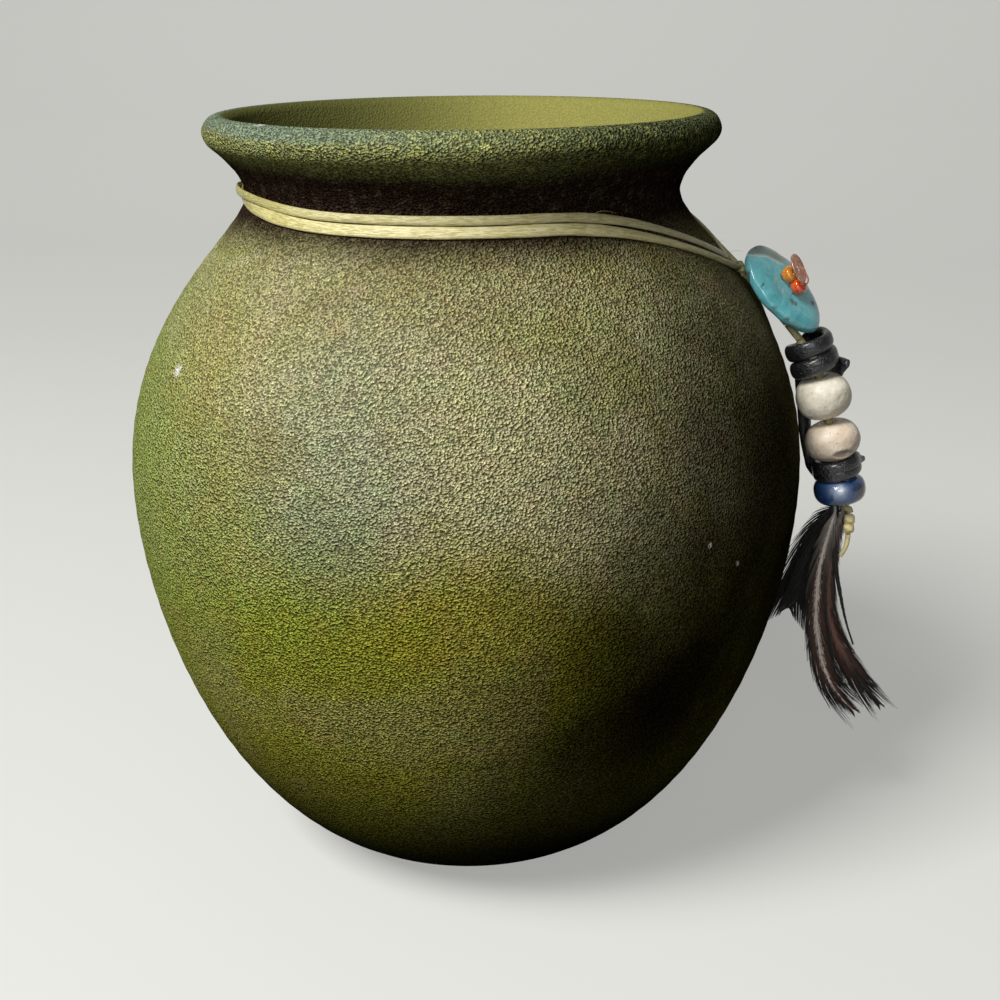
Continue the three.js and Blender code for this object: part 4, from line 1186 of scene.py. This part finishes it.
makeBead("blueBead", "blue_bead", tassel["blueDiameter"], tassel["blueHeight"], tassel["blueBore"], 0.78,
         blueAt - tassel["blueRise"], blueGlaze(), "blue_glass", 0.1)
print("beads threaded")


# The strand through the beads, its end knot and its tail

endKnotHalf = strand["endKnot"] * 0.9
endKnotPlace = onTassel(stackEnd) + Vector((1.9, -0.9, -1.2 - endKnotHalf))


def strandRoute():
    start = onTassel(stationOf(liftPivot) + 4.4)
    way = (start - liftPivot).normalized()
    gap = strand["jointGap"]
    points = [liftPivot + way * gap, liftPivot + way * (gap + strand["diameter"]), start]
    points += [onTassel(lerp(upperWrap, stackEnd - 0.6, i / 6)) for i in range(7)]
    knotTop = endKnotPlace + Vector((0, 0, endKnotHalf + tie["seat"]))
    return points + [knotTop + Vector((0, 0, 0.5)), knotTop]


hangingRoute = smoothRoute(strandRoute(), 60)
hangingStrand = roundCord("hangingStrand", hangingRoute, strand["diameter"], paleSinew, "tassel",
                          "strand_through_beads")


def makeEndKnot():
    mesh = bmesh.new()
    half = endKnotHalf

    def place(angle, row):
        up = -half * math.cos(math.pi * row / 32)
        out = 0
        for at in (0.42, -0.46):
            away = (up - at * half) / (half * 0.58)
            out = max(out, math.sqrt(max(1 - away ** 2, 0)))
        wrap = 1 + 0.09 * math.cos(2 * angle + up * 3.2) + 0.04 * math.cos(5 * angle - up * 6)
        reach = out * strand["endKnot"] / 2 * wrap
        return endKnotPlace + Vector((math.cos(angle) * reach, math.sin(angle) * reach, up))

    rollTube(mesh, 28, 32, place, lambda row: row * 0.3)
    return finished(mesh, "endKnot", yellowSinewPaintedLight, "tassel", "end_knot", "sinew")


def makeTail():
    drops = ((0, 0, tie["seat"]), (0, 0, tie["seat"] + strand["tail"]), (-0.4, -0.9, 3), (-1.5, -1.7, 4.9))
    route = smoothRoute([endKnotPlace + Vector((x, y, -endKnotHalf - drop)) for x, y, drop in drops], 20)
    return roundCord("strandTail", route, strand["tail"], yellowSinewPaintedLight, "tassel", "strand_tail", 0.2)


makeEndKnot()
makeTail()
hangingLength = distances(hangingRoute)[-1] * mm
print("strand hung")


# Feathers

feathers = {
    "featherStriped": {
        "node": "feather_striped", "slot": "feather_pale", "quillAt": -140, "seed": 3, "width": 6.6,
        "widest": 0.6, "tip": 1.6, "begin": 3.4, "spread": 12, "band": 0.05, "dark": 0.42, "darkTip": 0.0,
        "middle": "#fbeee0", "vane": "#553a2e", "edge": "#0d0b0a", "start": "#a8a199",
        "line": [(-2.1, -2, -4.4), (-3.4, -2.2, -10.3), (-4.1, -2.4, -19.5), (-3.7, -2.5, -27.2),
                 (-2, -2.6, -35.9), (0.4, -2.6, -41.9), (3.6, -2.6, -46.2), (6.5, -2.6, -49)],
    },
    "featherBrown": {
        "node": "feather_brown", "slot": "feather_brown", "quillAt": 40, "seed": 5, "width": 5.6,
        "widest": 0.7, "tip": 1.2, "begin": 3.0, "spread": 12, "band": 0.1, "dark": 0.5, "darkTip": 0.95,
        "middle": "#8f6d5e", "vane": "#4a3129", "edge": "#14100e", "start": "#8c857e",
        "line": [(-0.1, 1, -4.9), (-0.9, 0.4, -10.2), (-1.4, 0, -19.4), (-0.7, -0.2, -26.8),
                 (1.5, -0.3, -32.9), (4.8, -0.4, -38.5), (8.7, -0.4, -44.1), (12.5, -0.4, -48.4)],
    },
    "featherWisp": {
        "node": "feather_wisp", "slot": "feather_dark", "quillAt": -85, "seed": 7, "width": 1,
        "widest": 0.5, "tip": 0.4, "begin": 1, "spread": 0, "band": 0.1, "dark": 0.5, "darkTip": 0.0,
        "middle": "#1c1715", "vane": "#14100f", "edge": "#0b0a09", "start": "#8c857e",
        "line": [(-1, -1.9, -4.6), (-0.9, -1.2, -10.1), (0.9, -1.2, -19.1), (2.9, -1.5, -26.9),
                 (4.9, -1.6, -32.5)],
    },
    "featherBlack": {
        "node": "feather_black", "slot": "feather_dark", "quillAt": 100, "seed": 9, "width": 10,
        "widest": 0.5, "tip": 4.0, "begin": 4.6, "spread": 15, "band": 0.1, "dark": 0.5, "darkTip": 0.0,
        "middle": "#1a1716", "vane": "#0f0e0d", "edge": "#080807", "start": "#1d1a18",
        "line": [(-3.5, 2.8, -4.4), (-6.1, 3.8, -10.4), (-8.3, 4.8, -19.6), (-9.7, 5.6, -27.8)],
    },
    "featherBlackShort": {
        "node": "feather_black_short", "slot": "feather_dark", "quillAt": 170, "seed": 11, "width": 7.6,
        "widest": 0.5, "tip": 3.2, "begin": 4.2, "spread": 15, "band": 0.1, "dark": 0.5, "darkTip": 0.0,
        "middle": "#1e1a18", "vane": "#11100f", "edge": "#090808", "start": "#2a2624",
        "line": [(-2.8, 0.7, -4.4), (-4.7, 1.6, -10.4), (-6.7, 2.3, -18.4), (-8.0, 2.8, -24.8)],
    },
}
# How many barbs start on a millimetre of the shaft, from which share of its length to which, the steps
# along each one, and how wide, thick, lifted and bowed it is
barbs = {
    "count": 4.2, "first": 0.07, "last": 0.985, "steps": 6, "width": 0.36, "narrowing": 0.85,
    "thickness": 0.09, "lift": 0.13, "bow": 0.7,
}
shaftEnd = 0.12
quillRing = strand["diameter"] / 2 + 2 * tie["seat"] + tassel["quill"] / 2


def featherMaterial(name, shape):
    material, tree, shader = newMaterial(name, Roughness=0.5)
    lie = lieOf(tree)
    split = splitOf(tree, lie)
    outwards = calc(tree, "ABSOLUTE", split[0])
    streak = noiseAt(tree, stretched(tree, lie, (9, 9, 2.2)), 1, 3, 0.6)
    reach = calc(tree, "ADD", outwards, times(tree, calc(tree, "SUBTRACT", streak, 0.5), 0.7))
    color = tone(shape["middle"])
    for mask, shade in ((mapTo(tree, reach, shape["band"], shape["band"] + 0.2), "vane"),
                        (mapTo(tree, reach, shape["dark"], shape["dark"] + 0.25), "edge"),
                        (mapTo(tree, split[1], 0.62, 0.82, 0, shape["darkTip"]), "edge"),
                        (mapTo(tree, split[1], 0.3, 0.08, 0, 0.8), "start")):
        color = mixColor(tree, mask, color, tone(shape[shade]))
    tree.links.new(color, shader.inputs["Base Color"])
    return material


def makeFeather(name, shape):
    rng = random.Random(shape["seed"])
    tucks = (-tassel["quillTuck"], -tassel["quillTuck"] / 2, 0.4)
    quill = [onTassel(stackEnd + tuck, quillRing, shape["quillAt"]) for tuck in tucks]
    last = 80
    route = smoothRoute([*quill, *[onTassel(stackEnd) + Vector(p) for p in shape["line"]]], last)
    ways = directions(route)
    sides = [behind.cross(way).normalized() for way in ways]
    length = distances(route)[-1]
    mesh = bmesh.new()
    lie = mesh.verts.layers.float_vector.new("lie")

    # how wide the vane is at a share of the feather's length
    def vaneWidth(share):
        if share < shape["widest"]:
            return lerp(shape["begin"], shape["width"], smooth(share / shape["widest"]))
        fall = smooth((share - shape["widest"]) / (1 - shape["widest"]))
        return lerp(shape["tip"], shape["width"], 1 - fall)

    def shaftWidth(i):
        return tassel["quill"] * lerp(1, shaftEnd, (i / last) ** 0.8)

    def barbWidth(i):
        return barbs["width"] * (1 - barbs["narrowing"] * i / barbs["steps"])

    for vert in sweep(mesh, route, 8, shaftWidth, lambda i: shaftWidth(i) * 0.8, lambda i: behind):
        vert[lie] = (0, vert[lie][2] / length, 0)
    count = int(length * barbs["count"])
    for k in range(count):
        share = lerp(barbs["first"], barbs["last"], (k + rng.random()) / count)
        for side in (-1, 1):
            half = vaneWidth(min(share + 0.08, 1)) / 2 * rng.uniform(0.8, 1.08)
            lean = (rng.uniform(7, 12) + shape["spread"] * (1 - smooth(share / 0.35))) * rad
            run = min(half / math.tan(lean), (1 - share) * length + half * 0.9)
            lift = rng.uniform(-barbs["lift"], barbs["lift"]) * shape["width"]
            barb = []
            for step in range(barbs["steps"] + 1):
                t = step / barbs["steps"]
                j = min(share + run * t / length, 1) * last
                a = min(int(j), last - 1)
                base = route[a].lerp(route[a + 1], min(j - a, 1))
                over = max(share * length + run * t - length, 0)
                fan = half * t ** 0.85
                bow = barbs["bow"] * fan / max(shape["width"], 1)
                barb.append(base + ways[a] * over + sides[a] * (fan * side) + behind * (lift * t - bow))
            for vert in sweep(mesh, barb, 3, barbWidth, lambda i: barbs["thickness"], lambda i: behind):
                vert[lie] = (min(vert[lie][2] / max(run, 0.1), 1) * side, share, k * 0.37)
    vane = featherMaterial(name + "Vane", shape)
    return finished(mesh, name, vane, "tassel", shape["node"], shape["slot"])


for featherName, featherShape in feathers.items():
    makeFeather(featherName, featherShape)
print("feathers tucked in")


# Pale floor, backdrop and soft light

studio = {
    "floor": "#a8a8a4", "shade": "#262524", "glow": 0.85, "world": 0.055, "aim": (0, 0, 0.08),
    "length": 6, "halfWidth": 4, "front": -2.5, "flat": 3.2, "bend": 0.5,
    "lights": {"key": ((-0.53, -0.66, 1.03), 0.5, 22.5), "fill": ((0.1, -1.25, 0.55), 0.5, 3.8)},
}


def studioSurface(name, values):
    material, tree, shader = newMaterial(name, Roughness=0.8)
    rays = addNode(tree, "LightPath").outputs
    seen = rays["Is Camera Ray"]
    for kind in ("Is Glossy Ray", "Is Transmission Ray"):
        seen = calc(tree, "MAXIMUM", seen, rays[kind])
    shade = mixColor(tree, seen, tone(values["shade"]), tone(values["floor"]))
    tree.links.new(shade, shader.inputs["Base Color"])
    shader.inputs["Emission Color"].default_value = tone(values["floor"])
    tree.links.new(times(tree, seen, values["glow"]), shader.inputs["Emission Strength"])
    return material


def makeStudio(values):
    mesh = bmesh.new()
    bmesh.ops.create_grid(mesh, x_segments=1, y_segments=24, size=1)
    flat, bend = values["flat"], values["bend"]
    for vert in mesh.verts:
        run = (vert.co.y + 1) / 2 * values["length"]
        turn = min(max(run - flat, 0) / bend, math.pi / 2)
        back = values["front"] + min(run, flat) + bend * math.sin(turn)
        up = bend * (1 - math.cos(turn)) + max(run - flat - bend * math.pi / 2, 0)
        vert.co = (vert.co.x * values["halfWidth"], back, up)
    for face in mesh.faces:
        face.smooth = True
    floor = meshObject(mesh, "paleFloor", studioSurface("paleFloor", values))
    for name, (place, size, power) in values["lights"].items():
        light = bpy.data.lights.new(name, "AREA")
        light.energy = power
        light.size = size
        lamp = linked(name, light)
        lamp.location = place
        lamp.rotation_mode = "QUATERNION"
        lamp.rotation_quaternion = (Vector(values["aim"]) - lamp.location).to_track_quat("-Z", "Y")
    world = bpy.data.worlds.new("studio")
    world.use_nodes = True
    back = world.node_tree.nodes["Background"]
    back.inputs["Color"].default_value = (1, 1, 1, 1)
    back.inputs["Strength"].default_value = values["world"]
    bpy.context.scene.world = world


makeStudio(studio)
bpy.context.scene.view_settings.view_transform = "Standard"
print("studio lit")
